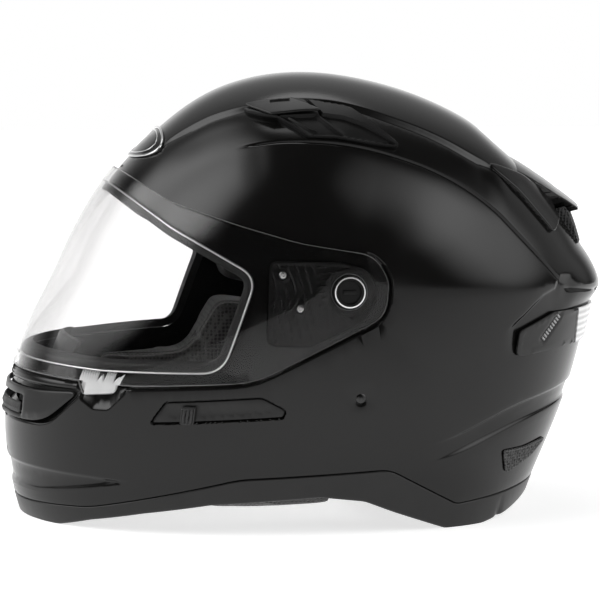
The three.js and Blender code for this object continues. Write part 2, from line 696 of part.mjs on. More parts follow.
function badgeCutter() {
  const geometry = new THREE.CylinderGeometry(1, 1, 60, 32);
  geometry.scale(BADGE_HALF_HEIGHT, 1, BADGE_HALF_WIDTH);
  geometry.rotateX(Math.PI / 2);
  geometry.rotateY(radians(-BADGE_LEAN));
  geometry.translate(BADGE_X, 0, BADGE_Z);
  return solidOf(geometry);
}
addSolid('forehead_badge', plate(badgeCutter(), BADGE_LAYER), steel);

// ---- Chin strap ---------------------------------------------------------------------------

// A strip of webbing along a path in the YZ plane.
function webbing(path, thickness) {
  const line = path.map(([y, z]) => new THREE.Vector2(y, z));
  const offset = (sign) => line.map((point, i) => {
    const a = point.clone().sub(line[Math.max(0, i - 1)]).normalize();
    const b = line[Math.min(line.length - 1, i + 1)].clone().sub(point).normalize();
    const normal = new THREE.Vector2(-a.y - b.y, a.x + b.x).normalize();
    const along = i === 0 ? b : a;
    const stretch = Math.max(0.4, normal.dot(new THREE.Vector2(-along.y, along.x)));
    return point.clone().addScaledVector(normal, (sign * thickness) / 2 / stretch);
  });
  const outline = [...offset(1), ...offset(-1).reverse()];
  const geometry = new THREE.ExtrudeGeometry(new THREE.Shape(outline), {
    depth: STRAP_WIDTH, bevelEnabled: false, steps: 1,
  });
  geometry.rotateX(Math.PI / 2);
  geometry.rotateZ(Math.PI / 2);
  geometry.translate(STRAP_X - STRAP_WIDTH / 2, 0, 0);
  return solidOf(geometry);
}

const STRAP_THICK = 1.8;
const HANG = [[113, 84], [110.5, 60], [106, 42], [99, 30], [87, 25.5]];
const RING_WIRE = 3;
const RING_BAR_Y = -14;          // outer edge of the D-rings' straight bars
const RING_REACH = 20;
const RING_HALF = 17;
const RING_LEVELS = [25.5, 29];

// The left strap is sewn back on itself round the straight bars of both rings.
const RING_LOOP = [[-20, 21.8], [-9.2, 21.8], [-9.2, 32.4], [-17, 32.4], [-22, 26.4], [-32, 25.8]];
// The right strap comes up through both rings and folds back over them.
const FASTENED_TAIL = [[12, 21.8], [-3.5, 21.8], [-3.5, 32.4], [14, 32.4], [40, 30], [57, 29.5]];

addSolid('strap_left', webbing([...HANG.map(([y, z]) => [-y, z]), [-50, 22.6], ...RING_LOOP],
  STRAP_THICK), fabric);
addSolid('strap_right', webbing([...HANG, [50, 22.2], ...FASTENED_TAIL], STRAP_THICK), fabric);

// A D-ring lying level: a straight bar across the strap and a half-round bow.
function dRing(z) {
  const outline = [];
  const opening = [];
  const start = new THREE.Vector2(STRAP_X, RING_BAR_Y);
  for (let i = 0; i <= 12; i += 1) {
    const angle = Math.PI * (i / 12);
    const across = new THREE.Vector2(Math.cos(angle), Math.sin(angle));
    outline.push(start.clone().add(new THREE.Vector2(RING_HALF * across.x, RING_REACH * across.y)));
    opening.push(start.clone().add(new THREE.Vector2(
      (RING_HALF - RING_WIRE) * across.x,
      RING_WIRE + (RING_REACH - 2 * RING_WIRE) * across.y,
    )));
  }
  const shape = new THREE.Shape(outline);
  shape.holes.push(new THREE.Path(opening));
  const geometry = new THREE.ExtrudeGeometry(shape, { depth: RING_WIRE, bevelEnabled: false });
  geometry.translate(0, 0, z - RING_WIRE / 2);
  return solidOf(geometry);
}
addSolid('d_ring_inner', dRing(RING_LEVELS[0]), steel);
addSolid('d_ring_outer', dRing(RING_LEVELS[1]), steel);

const RIVET_Z = 77;
const RIVET_RADIUS = 4;
forBothSides((word, side) => {
  const head = sideBar(STRAP_X, RIVET_Z, RIVET_RADIUS, side, SIDE_NEAR, SIDE_FAR, 16);
  addSolid(`strap_rivet_${word}`, plate(head, RIVET_LAYER), steel);
});

export default group;
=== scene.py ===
"""Looks for a full-face motorcycle helmet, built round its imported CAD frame.

Every hard piece is laid on the same base surface as the CAD: two superellipse halves around the
face shield's pivot axis. Lengths in the tables are millimetres, in the CAD frame: the helmet faces
-X, the rider's left side is -Y and +Z is up.
"""
import math

import bmesh
import bpy
import numpy as np
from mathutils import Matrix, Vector, geometry


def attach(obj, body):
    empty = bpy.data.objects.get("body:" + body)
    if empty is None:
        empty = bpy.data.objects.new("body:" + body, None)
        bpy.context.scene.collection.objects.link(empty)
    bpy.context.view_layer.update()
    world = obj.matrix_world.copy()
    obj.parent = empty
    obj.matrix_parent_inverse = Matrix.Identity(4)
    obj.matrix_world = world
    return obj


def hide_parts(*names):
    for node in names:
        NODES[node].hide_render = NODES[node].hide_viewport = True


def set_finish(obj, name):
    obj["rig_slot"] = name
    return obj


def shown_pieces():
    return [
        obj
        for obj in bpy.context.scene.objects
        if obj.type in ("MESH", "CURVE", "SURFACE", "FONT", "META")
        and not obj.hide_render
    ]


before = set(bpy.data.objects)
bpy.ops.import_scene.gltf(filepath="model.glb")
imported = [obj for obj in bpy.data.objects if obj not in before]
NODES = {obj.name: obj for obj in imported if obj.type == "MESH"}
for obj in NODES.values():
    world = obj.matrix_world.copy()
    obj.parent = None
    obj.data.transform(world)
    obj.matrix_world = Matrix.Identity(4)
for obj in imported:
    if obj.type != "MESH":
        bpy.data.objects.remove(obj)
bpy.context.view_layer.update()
MM = 0.001
SIDES = (("left", -1), ("right", 1))

# ---- Camera ---------------------------------------------------------------------------------

CAMERA_YAW = 9.5              # degrees towards the helmet's front
CAMERA_RISE = 6.0             # degrees above level
CAMERA_RANGE = 1.45           # metres from the target
CAMERA_TARGET = Vector((0.0, 0.0, 0.118))
FRAME_WIDTH = 0.3517          # metres seen across the picture at the target
SENSOR = 36


def aim(obj, target):
    obj.rotation_euler = (Vector(target) - obj.location).to_track_quat("-Z", "Y").to_euler()


def add_camera():
    data = bpy.data.cameras.new("camera")
    camera = bpy.data.objects.new("camera", data)
    bpy.context.scene.collection.objects.link(camera)
    yaw = math.radians(CAMERA_YAW)
    rise = math.radians(CAMERA_RISE)
    back = Vector((-math.sin(yaw) * math.cos(rise), -math.cos(yaw) * math.cos(rise), math.sin(rise)))
    camera.location = CAMERA_TARGET + CAMERA_RANGE * back
    aim(camera, CAMERA_TARGET)
    data.sensor_width = SENSOR
    data.lens = CAMERA_RANGE / FRAME_WIDTH * SENSOR
    data.clip_start = 0.05
    data.clip_end = 50
    bpy.context.scene.camera = camera


add_camera()

# ---- Base surface ---------------------------------------------------------------------------

PIVOT_X = 6                   # the face shield's axis, which is also the surface's pole
PIVOT_Z = 135
HALF_WIDTH = 122
SQUARENESS = 2.17             # the superellipse's power, and how far it swings round the outline
SQUARENESS_SWING = 0.13
RAISE = 3                     # how far the lower and rear shell stands over the base surface
SHIELD_TRAVEL = 34            # degrees
PROFILE = [
    (6, 251), (-45, 243), (-94, 208), (-139, 139), (-164, 87), (-170, 59), (-168, 28), (-160, -6),
    (-122, -67), (-10, -110), (100, -66), (122, -20), (127, 5), (142, 40), (157, 83), (164, 112),
    (168, 133), (161, 150), (132, 189), (82, 230), (40, 246),
]
PROFILE_BLUR = 3
HALF_TURN = math.pi / 2


def outline_table(step=0.25):
    """The outline's distance from the pivot axis by angle: smooth through PROFILE, then blurred."""
    knots = sorted(
        (math.degrees(math.atan2(z - PIVOT_Z, x - PIVOT_X)) % 360, math.hypot(x - PIVOT_X, z - PIVOT_Z))
        for x, z in PROFILE
    )
    angle = np.array([a + turn for turn in (-360, 0, 360) for a, _ in knots])
    reach = np.array([r for _ in range(3) for _, r in knots])
    slope = np.zeros_like(reach)
    slope[1:-1] = (reach[2:] - reach[:-2]) / (angle[2:] - angle[:-2])
    at = np.arange(-15, 375, step)
    k = np.searchsorted(angle, at, side="right") - 1
    width = angle[k + 1] - angle[k]
    t = (at - angle[k]) / width
    raw = (
        (2 * t**3 - 3 * t**2 + 1) * reach[k]
        + (t**3 - 2 * t**2 + t) * width * slope[k]
        + (3 * t**2 - 2 * t**3) * reach[k + 1]
        + (t**3 - t**2) * width * slope[k + 1]
    )
    kept = np.arange(0, 360, step)
    offsets = np.arange(-12, 12.1, 0.5)
    weights = np.exp(-0.5 * (offsets / PROFILE_BLUR) ** 2)
    total = sum(w * np.interp(kept + o, at, raw) for w, o in zip(weights, offsets))
    return kept, total / weights.sum()


TABLE_ANGLES, TABLE_REACH = outline_table()


def outline_reach(angle):
    return np.interp(angle, TABLE_ANGLES, TABLE_REACH, period=360)


def power(angle):
    return SQUARENESS - SQUARENESS_SWING * np.cos(np.radians(angle - 185))


def smooth(low, high, value):
    t = np.clip((value - low) / (high - low), 0, 1)
    return t * t * (3 - 2 * t)


def raise_at(angle):
    """How far the lower and rear shell stands over the base surface."""
    angle = np.mod(angle, 360)
    return RAISE * np.where(angle > 180, smooth(188, 200, angle), 1 - smooth(20, 75, angle))


def bell(value, width):
    """A smooth bump that is 1 where the value is 0."""
    return np.exp(-((value / width) ** 2))


def between(value, rise, fall):
    """1 inside a range, eased up over the pair `rise` and down again over the pair `fall`."""
    return smooth(*rise, value) * (1 - smooth(*fall, value))


def comb(value, pitch):
    """Runs from 1 at each multiple of the pitch down to 0 half way between two."""
    return np.abs((value / pitch) % 1 - 0.5) * 2


def chart_angle(flat):
    """Degrees about the pivot axis: 0 at the rear, 90 at the crown."""
    return np.degrees(np.arctan2(flat[:, 1], flat[:, 0]))


def pivot_angle(base):
    """The same angle for points in space."""
    return np.degrees(np.arctan2(base[:, 2] - PIVOT_Z, base[:, 0] - PIVOT_X))


def place(flat, height=0.0):
    """Points of the flat chart, lifted onto the left half of the surface. (0, 0) is the pivot."""
    tau = np.hypot(flat[:, 0], flat[:, 1])
    angle = chart_angle(flat)
    exponent = 2 / power(angle)
    reach = (outline_reach(angle) + height) * np.abs(np.sin(tau)) ** exponent
    half = (HALF_WIDTH + height) * np.sign(np.cos(tau)) * np.abs(np.cos(tau)) ** exponent
    turn = np.radians(angle)
    return np.column_stack([PIVOT_X + reach * np.cos(turn), -half, PIVOT_Z + reach * np.sin(turn)])


def unfold(xz):
    """The flat chart's points for places given in the XZ plane. Past the middle it mirrors on."""
    x = xz[:, 0] - PIVOT_X
    z = xz[:, 1] - PIVOT_Z
    angle = np.degrees(np.arctan2(z, x))
    share = np.hypot(x, z) / outline_reach(angle)
    folded = np.clip(np.where(share > 1, 2 - share, share), 0, 1)
    tau = np.arcsin(folded ** (power(angle) / 2))
    tau = np.where(share > 1, math.pi - tau, tau)
    turn = np.radians(angle)
    return np.column_stack([tau * np.cos(turn), tau * np.sin(turn)])


def chart_slopes(flat):
    """How the surface point moves, in mm, for a unit step along each axis of the chart."""
    step = 1e-3
    return [
        (place(flat + delta) - place(flat - delta)) / (2 * step)
        for delta in (np.array([step, 0]), np.array([0, step]))
    ]


# ---- Lines on the surface -------------------------------------------------------------------


def rounded(corners):
    """A closed outline whose corners (x, z, radius) are eased by arcs."""
    points = []
    count = len(corners)
    for i, corner in enumerate(corners):
        here = Vector(corner[:2])
        radius = corner[2] if len(corner) > 2 else 0
        back = Vector(corners[i - 1][:2]) - here
        ahead = Vector(corners[(i + 1) % count][:2]) - here
        half = back.angle(ahead) / 2
        cut = min(radius / math.tan(half), back.length * 0.49, ahead.length * 0.49)
        if cut < 0.05:
            points.append(here)
            continue
        start = here + back.normalized() * cut
        end = here + ahead.normalized() * cut
        steps = max(3, round((math.pi - 2 * half) / math.radians(8)))
        for s in range(steps + 1):
            t = s / steps
            points.append(start.lerp(here, t).lerp(here.lerp(end, t), t))
    return np.array([tuple(p) for p in points])


def dense(line, closed, pitch):
    """The same line with points about one pitch apart."""
    if closed:
        line = np.vstack([line, line[:1]])
    out = []
    for a, b in zip(line[:-1], line[1:]):
        count = max(1, math.ceil(np.linalg.norm(b - a) / pitch))
        out.extend(a + (b - a) * s / count for s in range(count))
    if not closed:
        out.append(line[-1])
    return np.array(out)


def eased(line, rounds=2):
    """An open line with its corners cut, so that it reads as one curve."""
    for _ in range(rounds):
        cut = [line[0]]
        for a, b in zip(line[:-1], line[1:]):
            cut.extend([a * 0.75 + b * 0.25, a * 0.25 + b * 0.75])
        cut.append(line[-1])
        line = np.array(cut)
    return line


class Line:
    """A line on the left half of the base surface, given in the XZ plane."""

    def __init__(self, points, closed=True, pitch=1.2):
        self.closed = closed
        self.xz = dense(np.array(points, float), closed, pitch)
        self.flat = unfold(self.xz)
        x = self.xz[:, 0] - PIVOT_X
        z = self.xz[:, 1] - PIVOT_Z
        share = np.hypot(x, z) / outline_reach(np.degrees(np.arctan2(z, x)))
        self.near = share < 1.08
        self.solid = place(self.flat)
        middle = self.pairs()[0][len(self.pairs()[0]) // 2]
        probe = self.rows(0.5)[0][0][middle:middle + 1]
        found = place(probe)[:, [0, 2]]
        self.inward = 1 if closed and self.inside(found)[0] else -1

    def pairs(self):
        count = len(self.xz)
        last = count if self.closed else count - 1
        index = np.arange(last)
        after = (index + 1) % count
        good = self.near[index] & self.near[after]
        return index[good], after[good]

    def inside(self, xz):
        hit = np.zeros(len(xz), bool)
        ax, az = self.xz[:, 0], self.xz[:, 1]
        bx, bz = np.roll(ax, -1), np.roll(az, -1)
        for k in range(len(ax)):
            if az[k] == bz[k]:
                continue
            crosses = (az[k] > xz[:, 1]) != (bz[k] > xz[:, 1])
            at = ax[k] + (xz[:, 1] - az[k]) * (bx[k] - ax[k]) / (bz[k] - az[k])
            hit ^= crosses & (xz[:, 0] < at)
        return hit

    def distance(self, points):
        """Shortest way in mm from each point of the base surface to the line."""
        a_index, b_index = self.pairs()
        a = self.solid[a_index]
        span = self.solid[b_index] - a
        length2 = np.maximum((span**2).sum(1), 1e-9)
        best = np.full(len(points), 1e9)
        for start in range(0, len(points), 2000):
            part = points[start:start + 2000, None, :] - a[None]
            t = np.clip((part * span).sum(2) / length2, 0, 1)
            gap = part - t[..., None] * span
            best[start:start + 2000] = np.sqrt((gap**2).sum(2).min(1))
        return best

    def signed(self, points):
        """Distance from the line, below zero inside it."""
        away = self.distance(points)
        return np.where(self.inside(points[:, [0, 2]]), -away, away)

    def rows(self, *offsets):
        """Chart lines that run beside this one, each a number of mm to one side of it."""
        du, dv = chart_slopes(self.flat)
        tangent = np.roll(self.flat, -1, 0) - np.roll(self.flat, 1, 0)
        if not self.closed:
            tangent[0] = self.flat[1] - self.flat[0]
            tangent[-1] = self.flat[-1] - self.flat[-2]
        along = du * tangent[:, :1] + dv * tangent[:, 1:]
        normal = np.cross(du, dv)
        aside = np.cross(normal, along)
        aside /= np.maximum(np.linalg.norm(aside, axis=1), 1e-9)[:, None]
        uu, uv, vv = (du * du).sum(1), (du * dv).sum(1), (dv * dv).sum(1)
        au, av = (aside * du).sum(1), (aside * dv).sum(1)
        det = np.maximum(uu * vv - uv * uv, 1e-9)
        step = np.column_stack([(vv * au - uv * av) / det, (uu * av - uv * au) / det])
        start, end = self.pairs()
        return [(self.flat + step * offset, start, end) for offset in offsets]


def circle_line(x, z, radius, sides=48):
    turns = np.linspace(0, 2 * math.pi, sides, endpoint=False)
    return Line(np.column_stack([x + radius * np.cos(turns), z + radius * np.sin(turns)]))


# ---- Surface pieces -------------------------------------------------------------------------


def triangulate(rows, region, spacing):
    """A triangle mesh of part of the chart: a lattice of points, with the rows kept as edges."""
    ring = np.linspace(0, 2 * math.pi, 420, endpoint=False)
    circle = HALF_TURN * np.column_stack([np.cos(ring), np.sin(ring)])
    index = np.arange(len(circle))
    every = [*rows, (circle, index, np.roll(index, -1))]
    points, edges, count = [], [], 0
    for line, start, end in every:
        used = np.unique(np.concatenate([start, end]))
        place_of = np.full(len(line), -1)
        place_of[used] = np.arange(len(used)) + count
        points.append(line[used])
        edges.extend(zip(place_of[start].tolist(), place_of[end].tolist()))
        count += len(used)
    fixed = np.vstack(points)
    low, high = fixed.min(0) - spacing, fixed.max(0) + spacing
    lattice = []
    for j, v in enumerate(np.arange(low[1], high[1], spacing * 0.866)):
        u = np.arange(low[0] + (j % 2) * spacing / 2, high[0], spacing)
        lattice.append(np.column_stack([u, np.full(len(u), v)]))
    lattice = np.vstack(lattice)
    lattice = lattice[np.hypot(lattice[:, 0], lattice[:, 1]) < HALF_TURN - spacing * 0.5]
    lattice = lattice[region(place(lattice))]
    cell = spacing * 0.45
    taken = set()
    for i, j in np.floor(fixed / cell).astype(int):
        taken.update((i + a, j + b) for a in (-1, 0, 1) for b in (-1, 0, 1))
    cells = np.floor(lattice / cell).astype(int)
    free = np.array([(i, j) not in taken for i, j in cells], bool)
    cloud = np.vstack([fixed, lattice[free]])
    verts, _, faces, _, _, _ = geometry.delaunay_2d_cdt(
        [Vector(p) for p in cloud], edges, [], 0, 1e-7
    )
    flat = np.array([tuple(v) for v in verts])
    faces = np.array([f for f in faces if len(f) == 3])
    centre = flat[faces].mean(1)
    keep = np.hypot(centre[:, 0], centre[:, 1]) < HALF_TURN
    keep &= region(place(centre))
    faces = faces[keep]
    used, packed = np.unique(faces, return_inverse=True)
    return flat[used], packed.reshape(-1, 3)


SHARP = 35                    # degrees between faces, from where an edge is drawn hard


def new_object(name, points, faces, smooth_angle=SHARP):
    mesh = bpy.data.meshes.new(name)
    mesh.from_pydata((np.asarray(points) * MM).tolist(), [], [list(map(int, f)) for f in faces])
    mesh.validate()
    obj = bpy.data.objects.new(name, mesh)
    bpy.context.scene.collection.objects.link(obj)
    mesh.shade_smooth()
    mesh.set_sharp_from_angle(angle=math.radians(smooth_angle))
    return obj


def closed_half(flat, faces, top, bottom):
    """Top and bottom of half a piece, with walls round its edges but none on the mid-plane."""
    upper = place(flat, top)
    lower = place(flat, bottom)
    count = len(flat)
    a, b = upper[faces[:, 1]] - upper[faces[:, 0]], upper[faces[:, 2]] - upper[faces[:, 0]]
    normal = np.cross(a, b)
    outward = upper[faces].mean(1) - np.array([PIVOT_X, 0, PIVOT_Z])
    if (normal * outward).sum() < 0:
        faces = faces[:, ::-1]
    solid = [*faces, *(faces[:, ::-1] + count)]
    seen = {}
    for f in faces:
        for k in range(3):
            seen[(f[k], f[(k + 1) % 3])] = True
    tau = np.hypot(flat[:, 0], flat[:, 1])
    middle = tau > HALF_TURN - 1e-5
    for (i, j) in seen:
        if (j, i) in seen or (middle[i] and middle[j]):
            continue
        solid.append((j, i, i + count))
        solid.append((j, i + count, j + count))
    return np.vstack([upper, lower]), solid


def coordinates(mesh):
    store = np.empty(len(mesh.vertices) * 3)
    mesh.vertices.foreach_get("co", store)
    return store.reshape(-1, 3)


def mirrored(points, faces):
    return points * np.array([1, -1, 1]), [tuple(reversed(list(f))) for f in faces]


def weld(obj, reach=2e-5):
    """Joins the two halves along the mid-plane."""
    bm = bmesh.new()
    bm.from_mesh(obj.data)
    middle = [v for v in bm.verts if abs(v.co.y) < reach]
    for v in middle:
        v.co.y = 0
    bmesh.ops.remove_doubles(bm, verts=middle, dist=reach)
    bm.to_mesh(obj.data)
    bm.free()
    obj.data.set_sharp_from_angle(angle=math.radians(SHARP))


def piece(name, halves):
    """One object from half pieces: (side, flat, faces, top, bottom)."""
    points, faces, count = [], [], 0
    for side, flat, triangles, top, bottom in halves:
        p, f = closed_half(flat, triangles, top, bottom)
        if side > 0:
            p, f = mirrored(p, f)
        points.append(p)
        faces.extend(tuple(int(i) + count for i in face) for face in f)
        count += len(p)
    obj = new_object(name, np.vstack(points), faces)
    if len(halves) > 1:
        weld(obj)
    return obj


def edge_roll(away, radius):
    """Drop of the top near an edge that is `away` mm off, as a quarter round."""
    t = np.clip(away / radius, 0, 1)
    return radius * (1 - np.sqrt(np.maximum(0, 1 - (1 - t) ** 2)))


ROLL_SHARES = (0.03, 0.12, 0.3, 0.6, 1.0)


def roll_rows(line, radius, hole=False):
    """Rows beside an edge that is rolled over: on its inner side, or outside it for a hole."""
    sign = -line.inward if hole else line.inward
    return line.rows(0, *[s * radius * sign for s in ROLL_SHARES])


# ---- Outlines, as in the CAD ----------------------------------------------------------------

FAR = 220
EYEPORT = rounded([
    (-FAR, 189), (-112, 189, 12), (-84, 167.5, 50), (-42, 143, 12), (-61, 91, 16), (-123, 90, 60),
    (-FAR, 94),
])
SHIELD = rounded([
    (-FAR, 197.5), (-107, 197, 10), (-84, 181, 40), (-50, 169.5, 60), (-19, 160.5, 90),
    (20, 154, 20), (27.5, 140, 14), (26, 121.5, 22), (-45, 86.5, 50), (-108, 83.5, 60), (-FAR, 88),
])
SHIELD_TAB = rounded([(-136, 92), (-132, 77, 3), (-116, 79, 3), (-112, 92)])
SEAM = rounded([
    (-FAR, 8), (-129, 14, 60), (-51, 33, 60), (30, 37, 20), (70, 15, 8), (130, 20, 60), (FAR, 30),
    (FAR, -FAR), (-FAR, -FAR),
])
LOWER_EDGE = rounded([
    (-FAR, 0), (-146, 0, 20), (-128, 6, 20), (-101, 12, 20), (-66, 18, 40), (-7, 22, 40),
    (17, 19, 20), (34, 12, 20), (66, 0, 16), (84, 0, 16), (104, 4, 20), (116, 8, 20),
    (130, 12, 20), (FAR, 14), (FAR, -FAR), (-FAR, -FAR),
])
MECHANISM = rounded([
    (-36, 152, 6), (2, 151, 10), (17, 147, 12), (23, 133, 12), (15, 119, 12), (-14, 105.5, 8),
    (-38, 106, 6),
])
SLIDER_RECESS = rounded([(-99, 63, 2), (-90, 76, 3), (-40, 79, 8), (-27, 72, 4), (-28, 67, 3)])
TOP_VENT = rounded([
    (-44, 230, 2), (-32, 234.5, 4), (-15, 236.5, 3), (14, 232, 12), (21, 227.5, 3), (42, 210, 2),
    (24, 212.5, 8), (5, 216, 6), (-11, 216.5, 4), (-18, 222, 3), (-25, 226.5, 3), (-33, 227.5, 3),
])
TOP_SLIDER = rounded([
    (-41, 231, 1), (-31, 233, 2), (-16, 234.3, 1.5), (0, 228, 1),
    (-12, 227.6, 6), (-28, 226, 2),
])
SPOILER_ARM = rounded([
    (88, 203, 3), (112, 193, 30), (131, 180, 8), (136, 168, 4), (128, 161, 3), (111, 180, 30),
])
# Mid-plane profile of the spoiler's wing, from its root to its tip.
WING = np.array([(112, 207), (136, 193.5), (148.5, 184.5), (161.5, 174.5)], float)
WING_HALF = ((14.2, 20, 34), (46, 53, 61))     # half widths at three angles about the pivot axis
WING_THICK = 4.5
EXHAUST_ANGLES = (7.2, 16.0)
EXHAUST_NEAR, EXHAUST_FAR = 100, 175        # from the pivot axis, across the shell's skin
EXHAUST_HALF = 50
REAR_VENT = rounded([
    (103, 110, 3), (126, 119, 6), (145, 119), (FAR, 119), (FAR, 99), (135, 99, 10), (101, 96, 4),
])
REAR_LENS_X = 144
REAR_LENS_INNER = 30          # the lenses stop this far from the mid-plane
LOWER_GRILLE = rounded([
    (98, 43, 2), (113, 43, 8), (133, 46, 3), (119, 36, 10), (101, 29, 3),
])
CHIN_VENT = rounded([
    (-FAR, 58), (-152, 60, 20), (-133, 79, 2), (-154, 77, 20), (-FAR, 77),
])
SLIDER_KNOB = rounded([(-82, 65, 1), (-81, 74, 1), (-74, 74, 1), (-75, 65, 1)])

# Creases of the painted shell. Each is a line with the panel above or below it set back.
CROWN_BAND = eased(np.array([
    (-90, 205), (-83, 212), (-76, 217), (-66, 223), (-56, 228), (-39, 233), (-26, 236), (-10, 237),
    (6, 236), (20, 233), (32, 229), (53, 221), (69, 213), (85, 203), (93, 199), (108, 190),
]))
SIDE_PANEL = eased(np.array([
    (-62, 206), (-47, 211.5), (-38, 213.5), (-23, 215.5), (-4, 215), (10, 213.5), (29, 209.5),
    (45, 204), (57, 199), (75, 189), (91, 176.5), (102, 165), (114, 153), (123, 144), (130, 137),
]))
SIDE_PANEL_TURN = np.array([(130, 137), (128, 132), (120, 129), (113, 124), (107, 119), (97, 112)])
REAR_LEDGE_TOP = eased(np.array([
    (20, 46), (40, 48), (62, 52), (84, 60), (104, 68), (124, 72), (150, 76), (170, 77),
]))
REAR_LEDGE_FOOT = eased(np.array([
    (40, 38), (60, 42), (84, 50), (104, 57), (124, 62), (150, 66), (170, 67),
]))
CHIN_GROOVE = rounded([
    (-FAR, 36), (-154, 34, 10), (-130, 33, 10), (-100, 31, 1), (-126, 25, 10), (-155, 19, 10),
    (-FAR, 17),
])
CHIN_RECESS = rounded([(-FAR, 56), (-150, 58, 14), (-131, 80, 2), (-FAR, 80)])
TAB_POCKET = rounded([
    (-137, 92), (-133, 75, 3), (-127, 70, 3), (-119, 70, 4), (-110, 80, 4), (-109, 92),
])


def turned(points, degrees):
    """An outline turned about the face shield's axis, opening it."""
    turn = math.radians(degrees)
    dx, dz = points[:, 0] - PIVOT_X, points[:, 1] - PIVOT_Z
    return np.column_stack([
        PIVOT_X + dx * math.cos(turn) + dz * math.sin(turn),
        PIVOT_Z - dx * math.sin(turn) + dz * math.cos(turn),
    ])


def grown(points, distance):
    """The same outline moved outwards, or inwards if the distance is negative."""
    x, z = points[:, 0], points[:, 1]
    area = (x * np.roll(z, -1) - np.roll(x, -1) * z).sum()
    ahead = np.roll(points, -1, 0) - points
    ahead /= np.maximum(np.linalg.norm(ahead, axis=1), 1e-9)[:, None]
    both = ahead + np.roll(ahead, 1, 0)
    normal = np.column_stack([both[:, 1], -both[:, 0]])
    normal /= np.maximum(np.linalg.norm(normal, axis=1), 1e-9)[:, None]
    stretch = np.maximum(0.5, (normal * np.column_stack([ahead[:, 1], -ahead[:, 0]])).sum(1))
    return points + normal * (math.copysign(1, area) * distance / stretch)[:, None]


# ---- Outer shell ----------------------------------------------------------------------------

SHELL_WALL = 3.5
GAP = 0.3
SHIELD_CLEARANCE = 1.0
SHELL_SPACING = 0.019

eyeport_hole = Line(grown(EYEPORT, GAP))
seam = Line(grown(SEAM, GAP))
crown_band = Line(CROWN_BAND, closed=False)
side_panel = Line(SIDE_PANEL, closed=False)
side_turn = Line(SIDE_PANEL_TURN, closed=False)
ledge_top = Line(REAR_LEDGE_TOP, closed=False)
ledge_foot = Line(REAR_LEDGE_FOOT, closed=False)
chin_groove = Line(CHIN_GROOVE)
chin_recess = Line(CHIN_RECESS)
tab_pocket = Line(TAB_POCKET)
slider_recess = Line(SLIDER_RECESS)
mechanism = Line(MECHANISM)
brow_crease = Line([(132, 131.6), (166, 126.2)], closed=False)
brow_edge = Line([(130, 131.5), (176, 131.5)], closed=False)
brow_foot = Line([(130, 128), (176, 128)], closed=False)
pocket = [
    Line(turned(grown(SHIELD, SHIELD_CLEARANCE), angle))
    for angle in (0, SHIELD_TRAVEL / 2, SHIELD_TRAVEL)
]
chin_intake = Line(rounded([(-FAR, 64), (-158, 64), (-154, 66, 2), (-155, 71, 2), (-FAR, 71)]))

BROW_REACH = 4.2              # the rear edge over the lenses stands this much further out
BROW_LEVELS, BROW_SHARES = (120, 128, 131.5, 151), (0, 1, 1, 0)
BROW_HOLE_X, BROW_HOLE_Z = 161, 127.5
STRAP_X, RIVET_Z = 13, 77     # where the strap's rivets sit, each in a shallow dip
EYEPORT_ROLL, SEAM_ROLL = 1.2, 0.9


def above(line, points):
    """Signed distance from an open line: more than zero above it."""
    xz = points[:, [0, 2]]
    height = np.interp(xz[:, 0], line.xz[:, 0], line.xz[:, 1])
    return np.where(xz[:, 1] > height, 1, -1) * line.distance(points)


def crown_crease(base):
    """The panel under the crown's crease is set back, with a groove along the crease."""
    band = above(crown_band, base)
    step = 1.3 * (smooth(-1.6, 1.6, band) - 1) * (1 - smooth(14, 40, -band))
    return (step - 0.5 * bell(band + 2.4, 0.9)) * between(base[:, 0], (-92, -66), (86, 100))


def side_crease(base):
    """The panel under the side crease is set back, and so is the one behind its turn."""
    x, z = base[:, 0], base[:, 2]
    panel = above(side_panel, base)
    step = 0.6 * smooth(-0.9, 0.5, -panel) * (1 - smooth(6, 34, -panel))
    groove = (0.5 + 0.5 * smooth(-30, 30, x)) * bell(panel + 0.4, 0.65)
    turn = side_turn.distance(base)
    behind = z < np.interp(x, SIDE_PANEL_TURN[::-1, 0], SIDE_PANEL_TURN[::-1, 1])
    turn = np.where(behind, turn, -turn)
    turn_step = 1.1 * between(turn, (-1.2, 1.6), (8, 20)) * between(x, (94, 104), (138, 150))
    return -(step + groove) * between(x, (-50, -36), (126, 134)) - turn_step


def rear_ledge(base):
    """The band between the two ledge lines is set back, deeper towards the rear."""
    inside = smooth(-1.2, 1.2, -above(ledge_top, base)) * smooth(-1.2, 1.2, above(ledge_foot, base))
    return -1.4 * inside * smooth(40, 86, base[:, 0])


def chin_relief(base):
    """The long groove across the chin, and the seat of the chin vent's frame."""
    groove = smooth(0.2, 3.2, -chin_groove.signed(base)) * smooth(-98, -118, base[:, 0])
    return -1.6 * groove - 2.0 * smooth(-0.4, 1.4, -chin_recess.signed(base))


def rear_brow(base, angle):
    """The edge over the rear lenses, with its crease and drain hole, and a slimmer upper rear."""
    x, y, z = base.T
    brow = np.interp(z, BROW_LEVELS, BROW_SHARES) * smooth(132, 160, x)
    crease = bell(z - 130.5 + 0.16 * (x - 139), 1.1) * between(x, (134, 140), (160, 163))
    hole = 1 - smooth(1.2, 2.4, np.hypot(x - BROW_HOLE_X, z - BROW_HOLE_Z))
    slim = between(angle, (20, 27), (34, 46)) * (angle > 0) * (1 - smooth(20, 70, np.abs(y)))
    return BROW_REACH * brow - 1.3 * crease - 2.2 * hole - 1.8 * slim


def left_pockets(base, height):
    """The seats of the sun visor's lever and of the shield's tab."""
    recess = slider_recess.signed(base)
    height = np.where(recess < 0, np.minimum(height, 1.6), height)
    height = height - 0.8 * (1 - smooth(-0.7, 0.1, recess))
    return height - 2.4 * (1 - smooth(-1.2, 0.2, tab_pocket.signed(base)))


